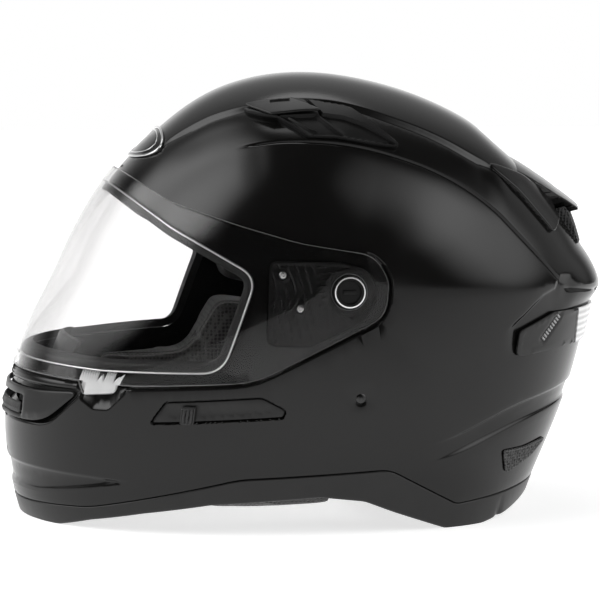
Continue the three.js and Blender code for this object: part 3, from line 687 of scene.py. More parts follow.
def shell_height(flat, side):
    """Height of the painted surface over the base surface."""
    base = place(flat)
    angle = chart_angle(flat)
    in_pocket = np.min([line.signed(base) for line in pocket], axis=0)
    height = raise_at(angle) * smooth(-0.2, 1.6, in_pocket)
    height = height + crown_crease(base) + side_crease(base) + rear_ledge(base)
    height = height + chin_relief(base) + rear_brow(base, angle)
    if side < 0:
        height = left_pockets(base, height)
    dip = np.hypot(base[:, 0] - STRAP_X, base[:, 2] - RIVET_Z)
    height = height - 1.2 * (1 - smooth(1.6, 4.2, dip))
    height = height - 1.5 * (1 - smooth(-0.8, 0.4, mechanism.signed(base)))
    height = height - edge_roll(eyeport_hole.distance(base), EYEPORT_ROLL)
    return height - edge_roll(seam.distance(base), SEAM_ROLL)


def shell_region(base):
    xz = base[:, [0, 2]]
    return ~(eyeport_hole.inside(xz) | seam.inside(xz) | chin_intake.inside(xz))


def shell_half(side):
    rows = [
        *roll_rows(eyeport_hole, EYEPORT_ROLL, hole=True), *roll_rows(seam, SEAM_ROLL, hole=True),
        *chin_intake.rows(0, -1),
        *crown_band.rows(-4.2, -3.2, -2.4, -1.6, -0.8, 0, 0.8, 1.6, 2.4, 3.2, 4.2),
        *side_panel.rows(-2.4, -1.6, -0.9, -0.3, 0.3, 0.9, 1.6, 2.4),
        *side_turn.rows(-1.6, -0.6, 0.4, 1.2, 2.0),
        *ledge_top.rows(-1.6, -0.6, 0, 0.6, 1.6), *ledge_foot.rows(-1.6, -0.6, 0, 0.6, 1.6),
        *chin_groove.rows(-3.4, -1.8, -0.2, 0.2, 1.8, 3.4),
        *chin_recess.rows(-1.6, -0.8, 0, 0.6, 0.8, 1.6),
        *mechanism.rows(-0.8, 0, 0.4, 0.8),
        *brow_crease.rows(-2, -1, 0, 1, 2), *brow_edge.rows(0), *brow_foot.rows(0),
        *pocket[0].rows(-0.4, 0.3, 0.8, 1.4, 2.0),
    ]
    for radius, sides in ((1.2, 16), (2.4, 20)):
        rows += circle_line(BROW_HOLE_X, BROW_HOLE_Z, radius, sides).rows(0)
    for radius, sides in ((1.6, 16), (3, 20), (4.4, 24)):
        rows += circle_line(STRAP_X, RIVET_Z, radius, sides).rows(0)
    if side < 0:
        rows += slider_recess.rows(-0.7, -0.3, 0, 0.3)
        rows += tab_pocket.rows(-1.2, -0.6, 0, 0.4)
    flat, faces = triangulate(rows, shell_region, SHELL_SPACING)
    return side, flat, faces, shell_height(flat, side), -SHELL_WALL


outer_shell = piece("painted_shell", [shell_half(-1), shell_half(1)])

# ---- Plates laid on the surface -------------------------------------------------------------


def plate(name, outline, bottom, top, roll=0.6, sides=(-1, 1), holes=(), spacing=0.02,
          relief=None, detail=(), cut=None):
    """A piece between two heights of the surface, with rolled edges. relief adds to its top."""
    line = Line(outline)
    openings = [Line(hole) if isinstance(hole, np.ndarray) else hole for hole in holes]
    rows = roll_rows(line, roll)
    for opening in openings:
        rows += roll_rows(opening, roll, hole=True)
    for extra in detail:
        rows += extra

    def region(base):
        xz = base[:, [0, 2]]
        kept = line.inside(xz)
        for opening in openings:
            kept &= ~opening.inside(xz)
        if cut is not None:
            kept &= cut(base)
        return kept

    flat, faces = triangulate(rows, region, spacing)
    base = place(flat)
    away = np.min([edge.distance(base) for edge in [line, *openings]], axis=0)
    height = top - edge_roll(away, roll)
    if relief is not None:
        height = height + relief(base, away)
    return [
        piece(name.format("left" if side < 0 else "right"), [(side, flat, faces, height, bottom)])
        for side in sides
    ]


def joined(name, parts):
    """One object from several loose ones."""
    points, faces, count = [], [], 0
    for part in parts:
        points.append(coordinates(part.data) / MM)
        faces.extend(tuple(i + count for i in f.vertices) for f in part.data.polygons)
        count += len(part.data.vertices)
        bpy.data.objects.remove(part)
    return new_object(name, np.vstack(points), faces)


def whole(name, outline, bottom, top, **options):
    """A plate that crosses the mid-plane, both halves in one object."""
    obj = joined(name, plate(name + "_half_{}", outline, bottom, top, **options))
    weld(obj)
    return obj


def finish_piece(obj, body, slot, node=None):
    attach(obj, body)
    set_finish(obj, slot)
    if node:
        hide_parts(node)
    return obj


def finish_pair(pair, body, slot, node):
    """The left and the right piece. {} in the body's and the node's name stands for the side."""
    for word, obj in zip(("left", "right"), pair):
        finish_piece(obj, body.format(word), slot, node.format(word))


finish_piece(outer_shell, "helmet", "gloss_black", "outer_shell")

# The trim under the painted shell: satin, with an upright fold near its rear corner.
TRIM_BOTTOM, TRIM_TOP = -7, 0.2
TRIM_ROLL, TRIM_FOOT_ROLL = 0.5, 2.4


def trim():
    upper = Line(SEAM)
    lower = Line(LOWER_EDGE)

    def region(base):
        xz = base[:, [0, 2]]
        return upper.inside(xz) & ~lower.inside(xz)

    rows = roll_rows(upper, TRIM_ROLL) + roll_rows(lower, TRIM_FOOT_ROLL, hole=True)
    flat, faces = triangulate(rows, region, 0.02)
    base = place(flat)
    angle = chart_angle(flat)
    top = TRIM_TOP + raise_at(angle)
    top = top - edge_roll(upper.distance(base), TRIM_ROLL)
    top = top - edge_roll(lower.distance(base), TRIM_FOOT_ROLL)
    x, z = base[:, 0], base[:, 2]
    top = top - 0.9 * bell(x - 100 - 0.35 * (z - 10), 1.6) * between(z, (1, 3), (9, 13))
    return piece("edge_trim", [(side, flat, faces, top, TRIM_BOTTOM) for side in (-1, 1)])


finish_piece(trim(), "helmet", "satin_black", "base_trim")

# ---- Eyeport gasket -------------------------------------------------------------------------

gasket_inner = grown(EYEPORT, -5)
gasket = whole("gasket", EYEPORT, -5, 1.0, roll=1.6, holes=[gasket_inner], spacing=0.03)
finish_piece(gasket, "helmet", "seal_rubber", "eyeport_gasket")


def ring_tube(name, path, radius, sides=10):
    """A round tube along a closed path of points in mm."""
    path = np.asarray(path, float)
    count = len(path)
    ahead = np.roll(path, -1, 0) - np.roll(path, 1, 0)
    ahead /= np.linalg.norm(ahead, axis=1)[:, None]
    frame_x = np.cross(ahead[0], [0.3, 0.2, 0.9])
    points = []
    for i in range(count):
        frame_x = frame_x - ahead[i] * frame_x.dot(ahead[i])
        frame_x /= np.linalg.norm(frame_x)
        frame_y = np.cross(ahead[i], frame_x)
        for s in range(sides):
            turn = 2 * math.pi * s / sides
            points.append(path[i] + radius * (math.cos(turn) * frame_x + math.sin(turn) * frame_y))
    faces = []
    for i in range(count):
        a, b = i * sides, ((i + 1) % count) * sides
        for s in range(sides):
            t = (s + 1) % sides
            faces.append((a + s, a + t, b + t, b + s))
    return new_object(name, np.array(points), faces, 60)


def both_sides_loop(line, height):
    """A closed loop round the front: the left half of a line, then its mirror image."""
    tau = np.hypot(line.flat[:, 0], line.flat[:, 1])
    order = np.where(tau < HALF_TURN)[0]
    breaks = np.where(np.diff(order) > 1)[0]
    if len(breaks):
        order = np.roll(order, -(breaks[0] + 1))
    left = place(line.flat[order], height)
    right = left[::-1] * np.array([1, -1, 1])
    return np.vstack([left, right])


# The bead round the eyeport takes a bright paint further down: a painted highlight along the gasket's
# edge.
bead = ring_tube("gasket_bead", both_sides_loop(Line(grown(EYEPORT, -0.4), pitch=2.5), 1.1), 0.6)
finish_piece(bead, "helmet", "seal_rubber")

# ---- Face shield ----------------------------------------------------------------------------

SHIELD_INNER, SHIELD_OUTER = 1.4, 3.4
HUB_RADIUS = 9
shield_line = Line(SHIELD)
shield_tab = Line(SHIELD_TAB)
hub_hole = circle_line(PIVOT_X, PIVOT_Z, HUB_RADIUS + 0.4, 64)


def shield_half(side):
    lines = [shield_line] + ([shield_tab] if side < 0 else [])

    def region(base):
        xz = base[:, [0, 2]]
        kept = np.any([line.inside(xz) for line in lines], axis=0)
        return kept & ~hub_hole.inside(xz)

    rows = roll_rows(hub_hole, 0.5, hole=True)
    for line in lines:
        rows += roll_rows(line, 0.6)
    flat, faces = triangulate(rows, region, 0.022)
    base = place(flat)
    union = np.max([-line.signed(base) for line in lines], axis=0)
    away = np.minimum(np.maximum(union, 0), hub_hole.distance(base))
    top = SHIELD_OUTER - edge_roll(away, 0.6)
    if side < 0:
        inside = -shield_tab.signed(base)
        top = top + 1.4 * bell(base[:, 2] - 79.5, 1.6) * smooth(0.5, 2, inside)
    return side, flat, faces, top, SHIELD_INNER


shield = piece("visor_shield", [shield_half(-1), shield_half(1)])
finish_piece(shield, "face_shield", "clear_lens", "face_shield")

# ---- Shield mechanism -----------------------------------------------------------------------


def ribs(base, away):
    """Fine moulded ribs and pockets of the base plate."""
    x, z = base[:, 0], base[:, 2]
    lines = smooth(0.72, 0.9, comb(z - 0.14 * x, 3.4)) * smooth(-12, -9, x)
    upright = smooth(0.72, 0.9, comb(x + 0.3 * z, 4.5)) * (1 - smooth(-14, -11, x))
    off_hub = smooth(12, 13, np.hypot(x - PIVOT_X, z - PIVOT_Z))
    return -0.7 * smooth(1.2, 2.0, away) * (1 - np.maximum(lines, upright)) * off_hub


screw_points = [(-20, 126), (-29, 144)]
plates = plate(
    "mechanism_plate_{}", grown(MECHANISM, -GAP), -1.2, 0.9, roll=0.4, relief=ribs, spacing=0.006,
    holes=[circle_line(x, z, 2.3, 20) for x, z in screw_points],
)
finish_pair(plates, "helmet", "satin_black", "shield_base_plate_{}")


def turned_rings(profile, x, z, side, sides, bands):
    """Rings about a line along Y, each a (radius, |y|), and the faces of the bands between them."""
    points, faces = [], []
    for radius, y in profile:
        for s in range(sides):
            turn = 2 * math.pi * s / sides
            points.append((x + radius * math.cos(turn), side * y, z + radius * math.sin(turn)))
    for k in range(bands):
        a, b = k * sides, ((k + 1) % len(profile)) * sides
        for s in range(sides):
            t = (s + 1) % sides
            face = (a + s, a + t, b + t, b + s)
            faces.append(face if side > 0 else face[::-1])
    return points, faces


def lathe(name, profile, x, z, side, sides=48, smooth_angle=SHARP):
    """A turned piece about a line along Y. profile holds (radius, |y|), from the middle out."""
    points, faces = turned_rings(profile, x, z, side, sides, len(profile) - 1)
    last = (len(profile) - 1) * sides
    first_cap = tuple(range(sides))
    end_cap = tuple(range(last + sides - 1, last - 1, -1))
    faces.append(first_cap[::-1] if side > 0 else first_cap)
    faces.append(end_cap[::-1] if side > 0 else end_cap)
    return new_object(name, np.array(points), faces, smooth_angle)


hubs = []
HUB_TOP = HALF_WIDTH + 5.5
HUB_PROFILE = [
    (HUB_RADIUS, HALF_WIDTH + 1.2), (HUB_RADIUS, HUB_TOP - 0.6), (HUB_RADIUS - 0.2, HUB_TOP - 0.2),
    (HUB_RADIUS - 0.6, HUB_TOP), (HUB_RADIUS - 1.3, HUB_TOP), (HUB_RADIUS - 1.7, HUB_TOP - 0.5),
    (HUB_RADIUS - 2.4, HUB_TOP - 0.5), (HUB_RADIUS - 2.8, HUB_TOP - 0.9),
    (HUB_RADIUS - 3, HUB_TOP - 2), (0.1, HUB_TOP - 2),
]
KEY_LONG, KEY_HIGH = 3.4, 1.1          # half sizes of the bar across the hub
HUB_KEY = rounded([
    (PIVOT_X + along * KEY_LONG, PIVOT_Z + up * KEY_HIGH, 0.4)
    for along, up in ((-1, -1), (1, -1), (1, 1), (-1, 1))
])
for word, side in SIDES:
    hub = lathe(f"pivot_hub_{word}", HUB_PROFILE, PIVOT_X, PIVOT_Z, side)
    finish_piece(hub, "helmet", "satin_black", f"shield_pivot_hub_{word}")
    hubs.append(hub)
    key = plate(f"hub_key_{word}_{{}}", HUB_KEY, 3.0, 4.6, roll=0.3, sides=(side,), spacing=0.008)[0]
    finish_piece(key, "helmet", "satin_black")
    for i, (x, z) in enumerate(screw_points):
        seat = abs(place(unfold(np.array([[x, z]])))[0, 1])
        screw = lathe(
            f"plate_screw_{word}_{i + 1}",
            [(2, seat - 1.2), (2, seat + 0.3), (1.7, seat + 0.7), (0.9, seat + 0.9), (0.8, seat + 0.2),
             (0.1, seat + 0.2)],
            x, z, side, 20,
        )
        finish_piece(screw, "helmet", "steel", f"base_plate_screw_{word}_{i + 1}")

# ---- Sun visor and its lever ----------------------------------------------------------------

SUN_X, SUN_Z = -20, 145
SUN_RADIUS, SUN_SPAN, SUN_INSET, SUN_WALL = 90, 119, 4, 2
SUN_LOWER_EDGE, SUN_UPPER_EDGE = 24, 100
SUN_HALF, SUN_EAR, SUN_HUB_Y, SUN_HUB_RADIUS = 72, 76, 94, 9
SUN_PIN_HOLE = 3.3


def sun_radius(y):
    return SUN_RADIUS * (1 - (np.abs(y) / SUN_SPAN) ** 2.05) ** (1 / 2.05) - SUN_INSET


def sun_point(degrees, radius, y):
    turn = math.radians(degrees)
    return SUN_X - radius * math.cos(turn), y, SUN_Z + radius * math.sin(turn)


def two_faced(rows_out, rows_in):
    """A closed sheet from two grids of points with the same layout."""
    down, across = len(rows_out), len(rows_out[0])
    points = [p for row in rows_out for p in row] + [p for row in rows_in for p in row]
    inner = down * across
    faces = []
    for i in range(down - 1):
        for j in range(across - 1):
            a, b = i * across + j, (i + 1) * across + j
            faces.append((a, a + 1, b + 1, b))
            faces.append((inner + a, inner + b, inner + b + 1, inner + a + 1))
    for i in range(down - 1):
        for j in (0, across - 1):
            a, b = i * across + j, (i + 1) * across + j
            wall = (a, b, inner + b, inner + a)
            faces.append(wall if j == 0 else wall[::-1])
    for j in range(across - 1):
        for i in (0, down - 1):
            a = i * across + j
            wall = (a, inner + a, inner + a + 1, a + 1)
            faces.append(wall if i == 0 else wall[::-1])
    return np.array(points), faces


def sun_visor():
    def reach(degrees):
        low = min(1, (degrees - SUN_LOWER_EDGE) / 12)
        corner = 16 * (1 - math.sqrt(max(0, 1 - (1 - low) ** 2)))
        ear = (SUN_EAR - SUN_HALF) * float(smooth(44, 50, degrees) * (1 - smooth(84, 90, degrees)))
        return SUN_HALF - corner + ear

    outer, inner = [], []
    for degrees in np.linspace(SUN_LOWER_EDGE, SUN_UPPER_EDGE, 58):
        ys = np.linspace(-1, 1, 61) * reach(degrees)
        dip = 3.0 * np.exp(-((ys / 16) ** 2)) * float(1 - smooth(SUN_LOWER_EDGE, 34, degrees))
        outer.append([sun_point(degrees + d, float(sun_radius(y)), y) for y, d in zip(ys, dip)])
        inner.append([
            sun_point(degrees + d, float(sun_radius(y)) - SUN_WALL, y) for y, d in zip(ys, dip)
        ])
    parts = [two_faced(outer, inner)]
    for side in (-1, 1):
        outer, inner = [], []
        rim = float(sun_radius(SUN_EAR)) - 0.5
        for t in np.linspace(0, 1, 14):
            radius = rim + (SUN_HUB_RADIUS - 2 - rim) * t
            y = SUN_EAR + (SUN_HUB_Y - SUN_EAR) * t
            fan = np.linspace(54, 80, 9)
            outer.append([sun_point(a, radius, side * y) for a in fan])
            inner.append([sun_point(a, radius, side * (y - 2)) for a in fan])
        points, faces = two_faced(outer, inner)
        parts.append((points, faces if side > 0 else [f[::-1] for f in faces]))
    points, faces, count = [], [], 0
    for part_points, part_faces in parts:
        points.append(part_points)
        faces.extend(tuple(i + count for i in f) for f in part_faces)
        count += len(part_points)
    return new_object("inner_sun_visor", np.vstack(points), faces, 50)


finish_piece(sun_visor(), "sun_visor", "smoke_lens", "sun_visor")


def washer(name, x, z, side, inner, outer, near, far, sides=40):
    """A flat ring about a line along Y, between two distances from the mid-plane."""
    profile = [(inner, near), (inner, far), (outer - 0.4, far), (outer, far - 0.4), (outer, near)]
    points, faces = turned_rings(profile, x, z, side, sides, len(profile))
    return new_object(name, np.array(points), faces)


for word, side in SIDES:
    eye = washer(f"sun_visor_eye_{word}", SUN_X, SUN_Z, side, SUN_PIN_HOLE, SUN_HUB_RADIUS,
                 SUN_HUB_Y - 2, SUN_HUB_Y)
    finish_piece(eye, "sun_visor", "smoke_lens")
    bracket = lathe(
        f"visor_bracket_{word}",
        [(3, SUN_HUB_Y - 1.5), (3, SUN_HUB_Y + 0.5), (12, SUN_HUB_Y + 0.5), (12, SUN_HUB_Y + 3.4),
         (11.4, SUN_HUB_Y + 4), (0.1, SUN_HUB_Y + 4)],
        SUN_X, SUN_Z, side,
    )
    finish_piece(bracket, "helmet", "satin_black", f"sun_visor_bracket_{word}")


def track_ribs(base, away):
    """A long shallow channel for the knob, and a moulded ramp at the track's front."""
    x, z = base[:, 0], base[:, 2]
    channel = between(z, (66, 66.8), (72.4, 73.2)) * between(x, (-90, -88), (-36, -34))
    ramp = smooth(-89, -97, x) * 0.7
    return -0.5 * channel * smooth(1, 2, away) + ramp * smooth(0.6, 1.6, away)


track = plate("visor_track_{}", grown(SLIDER_RECESS, -0.9), 1.0, 2.2, roll=0.4, sides=(-1,),
              spacing=0.008, relief=track_ribs)[0]
finish_piece(track, "helmet", "satin_black", "sun_visor_track")


def knob_grip(base, away):
    """Upright finger ridges."""
    ridges = comb(base[:, 0] - 0.12 * base[:, 2], 1.9)
    return -0.8 * smooth(0.5, 0.9, ridges) * smooth(0.4, 1.0, away)


knob = plate("visor_slider_{}", SLIDER_KNOB, 3.7, 6.3, roll=0.8, sides=(-1,), spacing=0.0035,
             relief=knob_grip)[0]
finish_piece(knob, "sun_visor_slider", "seal_rubber", "sun_visor_slider")

# ---- Crown vents ----------------------------------------------------------------------------

VENT_FIN = Line(rounded([
    (-10, 237, 1), (2, 235.5, 8), (14, 232, 4), (21, 227, 3), (41, 211, 1), (38, 211, 0.5),
    (29, 217, 8), (20, 222, 8), (10, 225.5, 8), (-1, 227, 2),
]))
VENT_SLAB = Line(rounded([
    (-44, 231, 1), (-32, 235, 3), (-15, 237, 2), (-10, 237, 1), (-1, 227, 1.5), (-12, 226.5, 6),
    (-23, 226, 4), (-33, 225.5, 2),
]))
VENT_FOLD = Line([(-4, 228), (8, 217)], closed=False, pitch=1)
VENT_LIP = Line([(-24, 229.5), (-9, 220), (-6, 219)], closed=False, pitch=1)
VENT_SLOT = Line(rounded([
    (-27, 232.7, 0.3), (-16.5, 233.6, 0.3), (-17, 232, 0.3), (-27, 231.3, 0.3),
]))


def vent_shape(base, away):
    """A rim, a long fin down its upper side, a slab at the front and folds in its floor."""
    rim = 1.1 * (1 - smooth(0.9, 1.5, away)) * smooth(0.0, 0.5, away)
    fin = 2.2 * (1 - smooth(-0.9, 0.1, VENT_FIN.signed(base)))
    slab = 1.7 * (1 - smooth(-1.0, 0.2, VENT_SLAB.signed(base)))
    fold = 0.7 * (1 - smooth(0, 2.6, VENT_FOLD.distance(base)))
    lip = 0.9 * (1 - smooth(0.2, 0.9, VENT_LIP.distance(base)))
    edge = smooth(0, 1.2, away)
    folds = np.maximum(fold, lip) * smooth(1.6, 2.6, away)
    return np.maximum.reduce([rim, fin * edge, slab * edge, folds])


vents = plate(
    "crown_scoop_{}", TOP_VENT, -2.2, 0.8, roll=0.5, spacing=0.009, relief=vent_shape,
    detail=[VENT_FIN.rows(-0.9, -0.4, 0.1), VENT_SLAB.rows(-1.0, -0.4, 0.2),
            VENT_LIP.rows(-0.9, 0, 0.9)],
)
finish_pair(vents, "helmet", "satin_black", "crown_vent_{}")


def slider_slot(base, away):
    return -0.9 * (1 - smooth(-0.5, 0.1, VENT_SLOT.signed(base)))


sliders = plate("crown_slider_{}", TOP_SLIDER, 3.7, 4.8, roll=0.7, spacing=0.005,
                relief=slider_slot, detail=[VENT_SLOT.rows(-0.5, 0.1)])
finish_pair(sliders, "crown_vent_slider_{}", "satin_black", "crown_vent_slider_{}")

# ---- Rear vents, grilles and spoiler --------------------------------------------------------


def on_skin(angle, y, height):
    """A surface point by its angle about the pivot axis and its distance from the mid-plane."""
    p = power(angle)
    half = HALF_WIDTH + height
    reach = (outline_reach(angle) + height) * (1 - (np.abs(y) / half) ** p) ** (1 / p)
    turn = np.radians(angle)
    return PIVOT_X + reach * np.cos(turn), y, PIVOT_Z + reach * np.sin(turn)


def across_line(y, low, high):
    """The surface's line at one |y| between two angles about the pivot axis."""
    points = [on_skin(angle, y, 0.0) for angle in np.linspace(low, high, 12)]
    return Line([(x, z) for x, _, z in points], closed=False)


def upright_line(x):
    """The line across the rear vents at one x."""
    return Line([(x, 90), (x, 125)], closed=False)


def ray_point(angle, radius):
    turn = math.radians(angle)
    return PIVOT_X + radius * math.cos(turn), PIVOT_Z + radius * math.sin(turn)


def ray_line(angle, near=60, far=200):
    """The surface's line at one angle about the pivot axis."""
    return Line([ray_point(angle, near), ray_point(angle, far)], closed=False)


STRIP_X, STRIP_Z = 118, 104            # the foot of the diagonal mesh strip, and its direction
STRIP_DX, STRIP_DZ = 0.66, 0.75


def vent_cover_shape(base, away):
    """A dished panel with a diagonal recess for the mesh strip."""
    x, z = base[:, 0] - STRIP_X, base[:, 2] - STRIP_Z
    along = x * STRIP_DX + z * STRIP_DZ
    across = z * STRIP_DX - x * STRIP_DZ
    strip = (1 - smooth(1.5, 2.2, np.abs(across))) * between(along, (-1, 0), (18, 19))
    dish = smooth(1.0, 2.4, away) * 0.5
    return -dish - 0.8 * strip


covers = plate(
    "rear_vent_panel_{}", REAR_VENT, 3.4, 5.0, roll=0.6, spacing=0.011, relief=vent_cover_shape,
    cut=lambda base: base[:, 0] < REAR_LENS_X - GAP,
    detail=[upright_line(REAR_LENS_X - GAP).rows(0)],
)
finish_pair(covers, "helmet", "satin_black", "rear_vent_cover_{}")

lenses = plate(
    "rear_vent_window_{}", REAR_VENT, 3.4, 5.0, roll=0.6, spacing=0.02,
    cut=lambda base: (base[:, 0] > REAR_LENS_X) & (base[:, 1] < -REAR_LENS_INNER),
    detail=[upright_line(REAR_LENS_X).rows(0)],
)
finish_pair(lenses, "helmet", "clear_lens", "rear_vent_lens_{}")


for word, side in SIDES:
    ticks = []
    for i in range(9):
        along = 1.2 + 1.9 * i
        x, z = STRIP_X + STRIP_DX * along, STRIP_Z + STRIP_DZ * along
        bar = rounded([(x - 1.2, z + 0.5, 0.2), (x - 0.7, z + 1.4, 0.2), (x + 1.2, z - 0.4, 0.2),
                       (x + 0.7, z - 1.3, 0.2)])
        ticks += plate(f"tick_{i}_{{}}", bar, 3.5, 4.5, roll=0.2, sides=(side,), spacing=0.01)
    finish_piece(joined(f"rear_vent_mesh_{word}", ticks), "helmet", "grille")


def woven(base, away):
    """A fine square mesh pressed into a flat insert."""
    x, z = base[:, 0], base[:, 2]
    weave = np.maximum(comb(x + z, 3.0), comb(x - z, 3.0))
    return -0.5 * (1 - smooth(0.55, 0.8, weave)) * smooth(0.8, 1.4, away)


grilles = plate("lower_grille_{}", LOWER_GRILLE, 3.4, 4.2, roll=0.5, spacing=0.004, relief=woven)
finish_pair(grilles, "helmet", "grille", "lower_rear_grille_{}")


def wing_angles():
    dx, dz = WING[:, 0] - PIVOT_X, WING[:, 1] - PIVOT_Z
    return np.degrees(np.arctan2(dz, dx))[::-1], np.hypot(dx, dz)[::-1]


def spoiler():
    """Two arms down the sides and a straight wing between them, over the exhaust grille."""
    arm = Line(SPOILER_ARM)
    angles, radii = wing_angles()

    def wing_inside(base):
        angle = pivot_angle(base)
        arc = math.radians(1) * np.interp(angle, angles, radii)
        inside = np.minimum((angle - angles[0]) * arc, (angles[-1] - angle) * arc)
        return np.minimum(inside, np.interp(angle, *WING_HALF) - np.abs(base[:, 1]))

    def region(base):
        return arm.inside(base[:, [0, 2]]) | (wing_inside(base) > 0)

    edge = [on_skin(a, np.interp(a, *WING_HALF), 0.0) for a in np.linspace(angles[0], angles[-1], 16)]
    side_edge = Line([(x, z) for x, _, z in edge], closed=False)
    rows = [*roll_rows(arm, 1.2), *side_edge.rows(-2, -1.2, -0.6, 0, 0.6, 1.2, 2)]
    for angle in (angles[0], angles[0] + 0.25, angles[0] + 0.6, angles[-1] - 0.5, angles[-1]):
        rows += ray_line(angle).rows(0)
    flat, faces = triangulate(rows, region, 0.011)
    base = place(flat)
    angle = chart_angle(flat)
    skin = raise_at(angle) - 1.6
    sunk = -9                 # lower than either part, so that the other one shows
    arm_in = -arm.signed(base)
    arm_height = np.interp(angle, (27, 39), (5.4, 2.4))
    arm_top = np.where(arm_in >= 0, arm_height - edge_roll(np.maximum(arm_in, 0), 1.2), sunk)
    wing_in = wing_inside(base)
    rise = np.interp(angle, angles, radii) - outline_reach(angle)
    round_off = edge_roll(np.maximum(wing_in, 0), 2.0)
    wing_top = np.where(wing_in >= 0, rise - round_off, sunk)
    top = np.maximum(arm_top, wing_top)
    under = np.where(arm_in >= 0, skin, rise - WING_THICK + 0.8 * round_off)
    low = np.minimum(np.maximum(under, skin), top - 0.3)
    return piece("spoiler", [(side, flat, faces, top, low) for side in (-1, 1)])


finish_piece(spoiler(), "helmet", "gloss_black", "rear_spoiler")

EXHAUST_REGION = rounded([
    ray_point(EXHAUST_ANGLES[0], EXHAUST_NEAR), ray_point(EXHAUST_ANGLES[0], EXHAUST_FAR),
    ray_point(EXHAUST_ANGLES[1], EXHAUST_FAR), ray_point(EXHAUST_ANGLES[1], EXHAUST_NEAR),
])


def exhaust_rise(base, away):
    """The mesh leans out from the shell to the underside of the wing."""
    angle = pivot_angle(base)
    lean = 4.8 * np.interp(angle, (EXHAUST_ANGLES[0], 14.2), (0, 1))
    return lean + woven(base, away)


exhaust = whole(
    "exhaust_mesh", EXHAUST_REGION, 1.5, 3.9, roll=0.5, spacing=0.006, relief=exhaust_rise,
    cut=lambda base: np.abs(base[:, 1]) < EXHAUST_HALF,
    detail=[across_line(EXHAUST_HALF, *EXHAUST_ANGLES).rows(0)],
)
finish_piece(exhaust, "helmet", "grille", "exhaust_grille")

# ---- Chin vent ------------------------------------------------------------------------------


def front_x(y, z):
    """Where the base surface is at |y| on the face, at height z."""
    xs = np.linspace(-176, -110, 400)
    flat = unfold(np.column_stack([xs, np.full(len(xs), z)]))
    found = place(flat)
    return float(np.interp(y, np.abs(found[:, 1]) * (found[:, 1] < 0), found[:, 0]))


def front_panel(half_width, low, high):
    """An outline across the chin, between two heights."""
    return rounded([
        (-FAR, low), (front_x(half_width, low), low, 1), (front_x(half_width, high), high, 1),
        (-FAR, high),
    ])


chin_window = front_panel(half_width=38, low=62, high=73)
shutter_outline = front_panel(half_width=36, low=62.6, high=68.4)


def frame_shape(base, away):
    """The frame leans out towards its lower edge."""
    return 1.2 * (1 - smooth(58, 76, base[:, 2])) * smooth(0, 2, away)


chin_frame = whole("chin_vent_surround", CHIN_VENT, 3.4, 4.6, roll=0.6, spacing=0.012,
                   holes=[chin_window], relief=frame_shape)
finish_piece(chin_frame, "helmet", "satin_black", "chin_vent_frame")


def shutter_ridge(base, away):
    """A finger ridge along the shutter's middle."""
    return 0.9 * bell(base[:, 2] - 65.5, 0.9) * smooth(1, 2, away)


shutter = whole("chin_shutter", shutter_outline, 3.6, 4.6, roll=0.4, spacing=0.008,
                relief=shutter_ridge)
finish_piece(shutter, "chin_vent_shutter", "seal_rubber", "chin_vent_shutter")

# ---- Forehead badge -------------------------------------------------------------------------

BADGE_HALF_WIDTH, BADGE_HALF_HEIGHT = 40, 12
BADGE_X, BADGE_Z = -91, 211.5
BADGE_ANGLE = math.degrees(math.atan2(BADGE_Z - PIVOT_Z, BADGE_X - PIVOT_X))
BADGE_DEGREES_PER_MM = math.degrees(1 / outline_reach(BADGE_ANGLE))


def badge_ellipse(share, height, sides):
    """Points round the badge, at a share of its half axes and a height over the surface."""
    points = []
    for s in range(sides):
        turn = 2 * math.pi * s / sides
        up = share * BADGE_HALF_HEIGHT * math.sin(turn)
        across = share * BADGE_HALF_WIDTH * math.cos(turn)
        points.append(on_skin(BADGE_ANGLE + up * BADGE_DEGREES_PER_MM, across, height))
    return points


def badge_disc(name, rings, heights, sides=72):
    """An oval cap: `heights` over the surface at each share `rings` of its half axes."""
    points = [on_skin(BADGE_ANGLE, 0.0, heights[0])]
    for share, height in zip(rings[1:], heights[1:]):
        points += badge_ellipse(share, height, sides)
    faces = [(0, 1 + s, 1 + (s + 1) % sides) for s in range(sides)]
    for k in range(len(rings) - 2):
        a, b = 1 + k * sides, 1 + (k + 1) * sides
        faces.extend((a + s, b + s, b + (s + 1) % sides, a + (s + 1) % sides) for s in range(sides))
    last = 1 + (len(rings) - 2) * sides
    faces.append(tuple(range(last + sides - 1, last - 1, -1)))
    return new_object(name, np.array(points, float), faces, 40)


field = badge_disc("badge_field", [0, 0.3, 0.6, 0.86, 0.9], [1.1, 1.1, 1.0, 0.9, 0.35])
finish_piece(field, "helmet", "gloss_black")


def badge_ring(name, share, radius, height):
    return ring_tube(name, badge_ellipse(share, height, 96), radius)


finish_piece(badge_ring("badge_rim", 0.95, 0.75, 1.0), "helmet", "badge_metal", "forehead_badge")
finish_piece(badge_ring("badge_inner_ring", 0.74, 0.35, 1.15), "helmet", "badge_metal")

# ---- Foam and padded linings ----------------------------------------------------------------

CLOTH_FRAMES = 20
CLOTH_PRESSURE = 4.0
CLOTH_SWELL = 0.004           # metres, the furthest that the cloth may move


def applied(obj):
    """Bakes an object's modifiers into its mesh."""
    graph = bpy.context.evaluated_depsgraph_get()
    mesh = bpy.data.meshes.new_from_object(obj.evaluated_get(graph))
    obj.modifiers.clear()
    obj.data = mesh
    mesh.shade_smooth()
    return obj


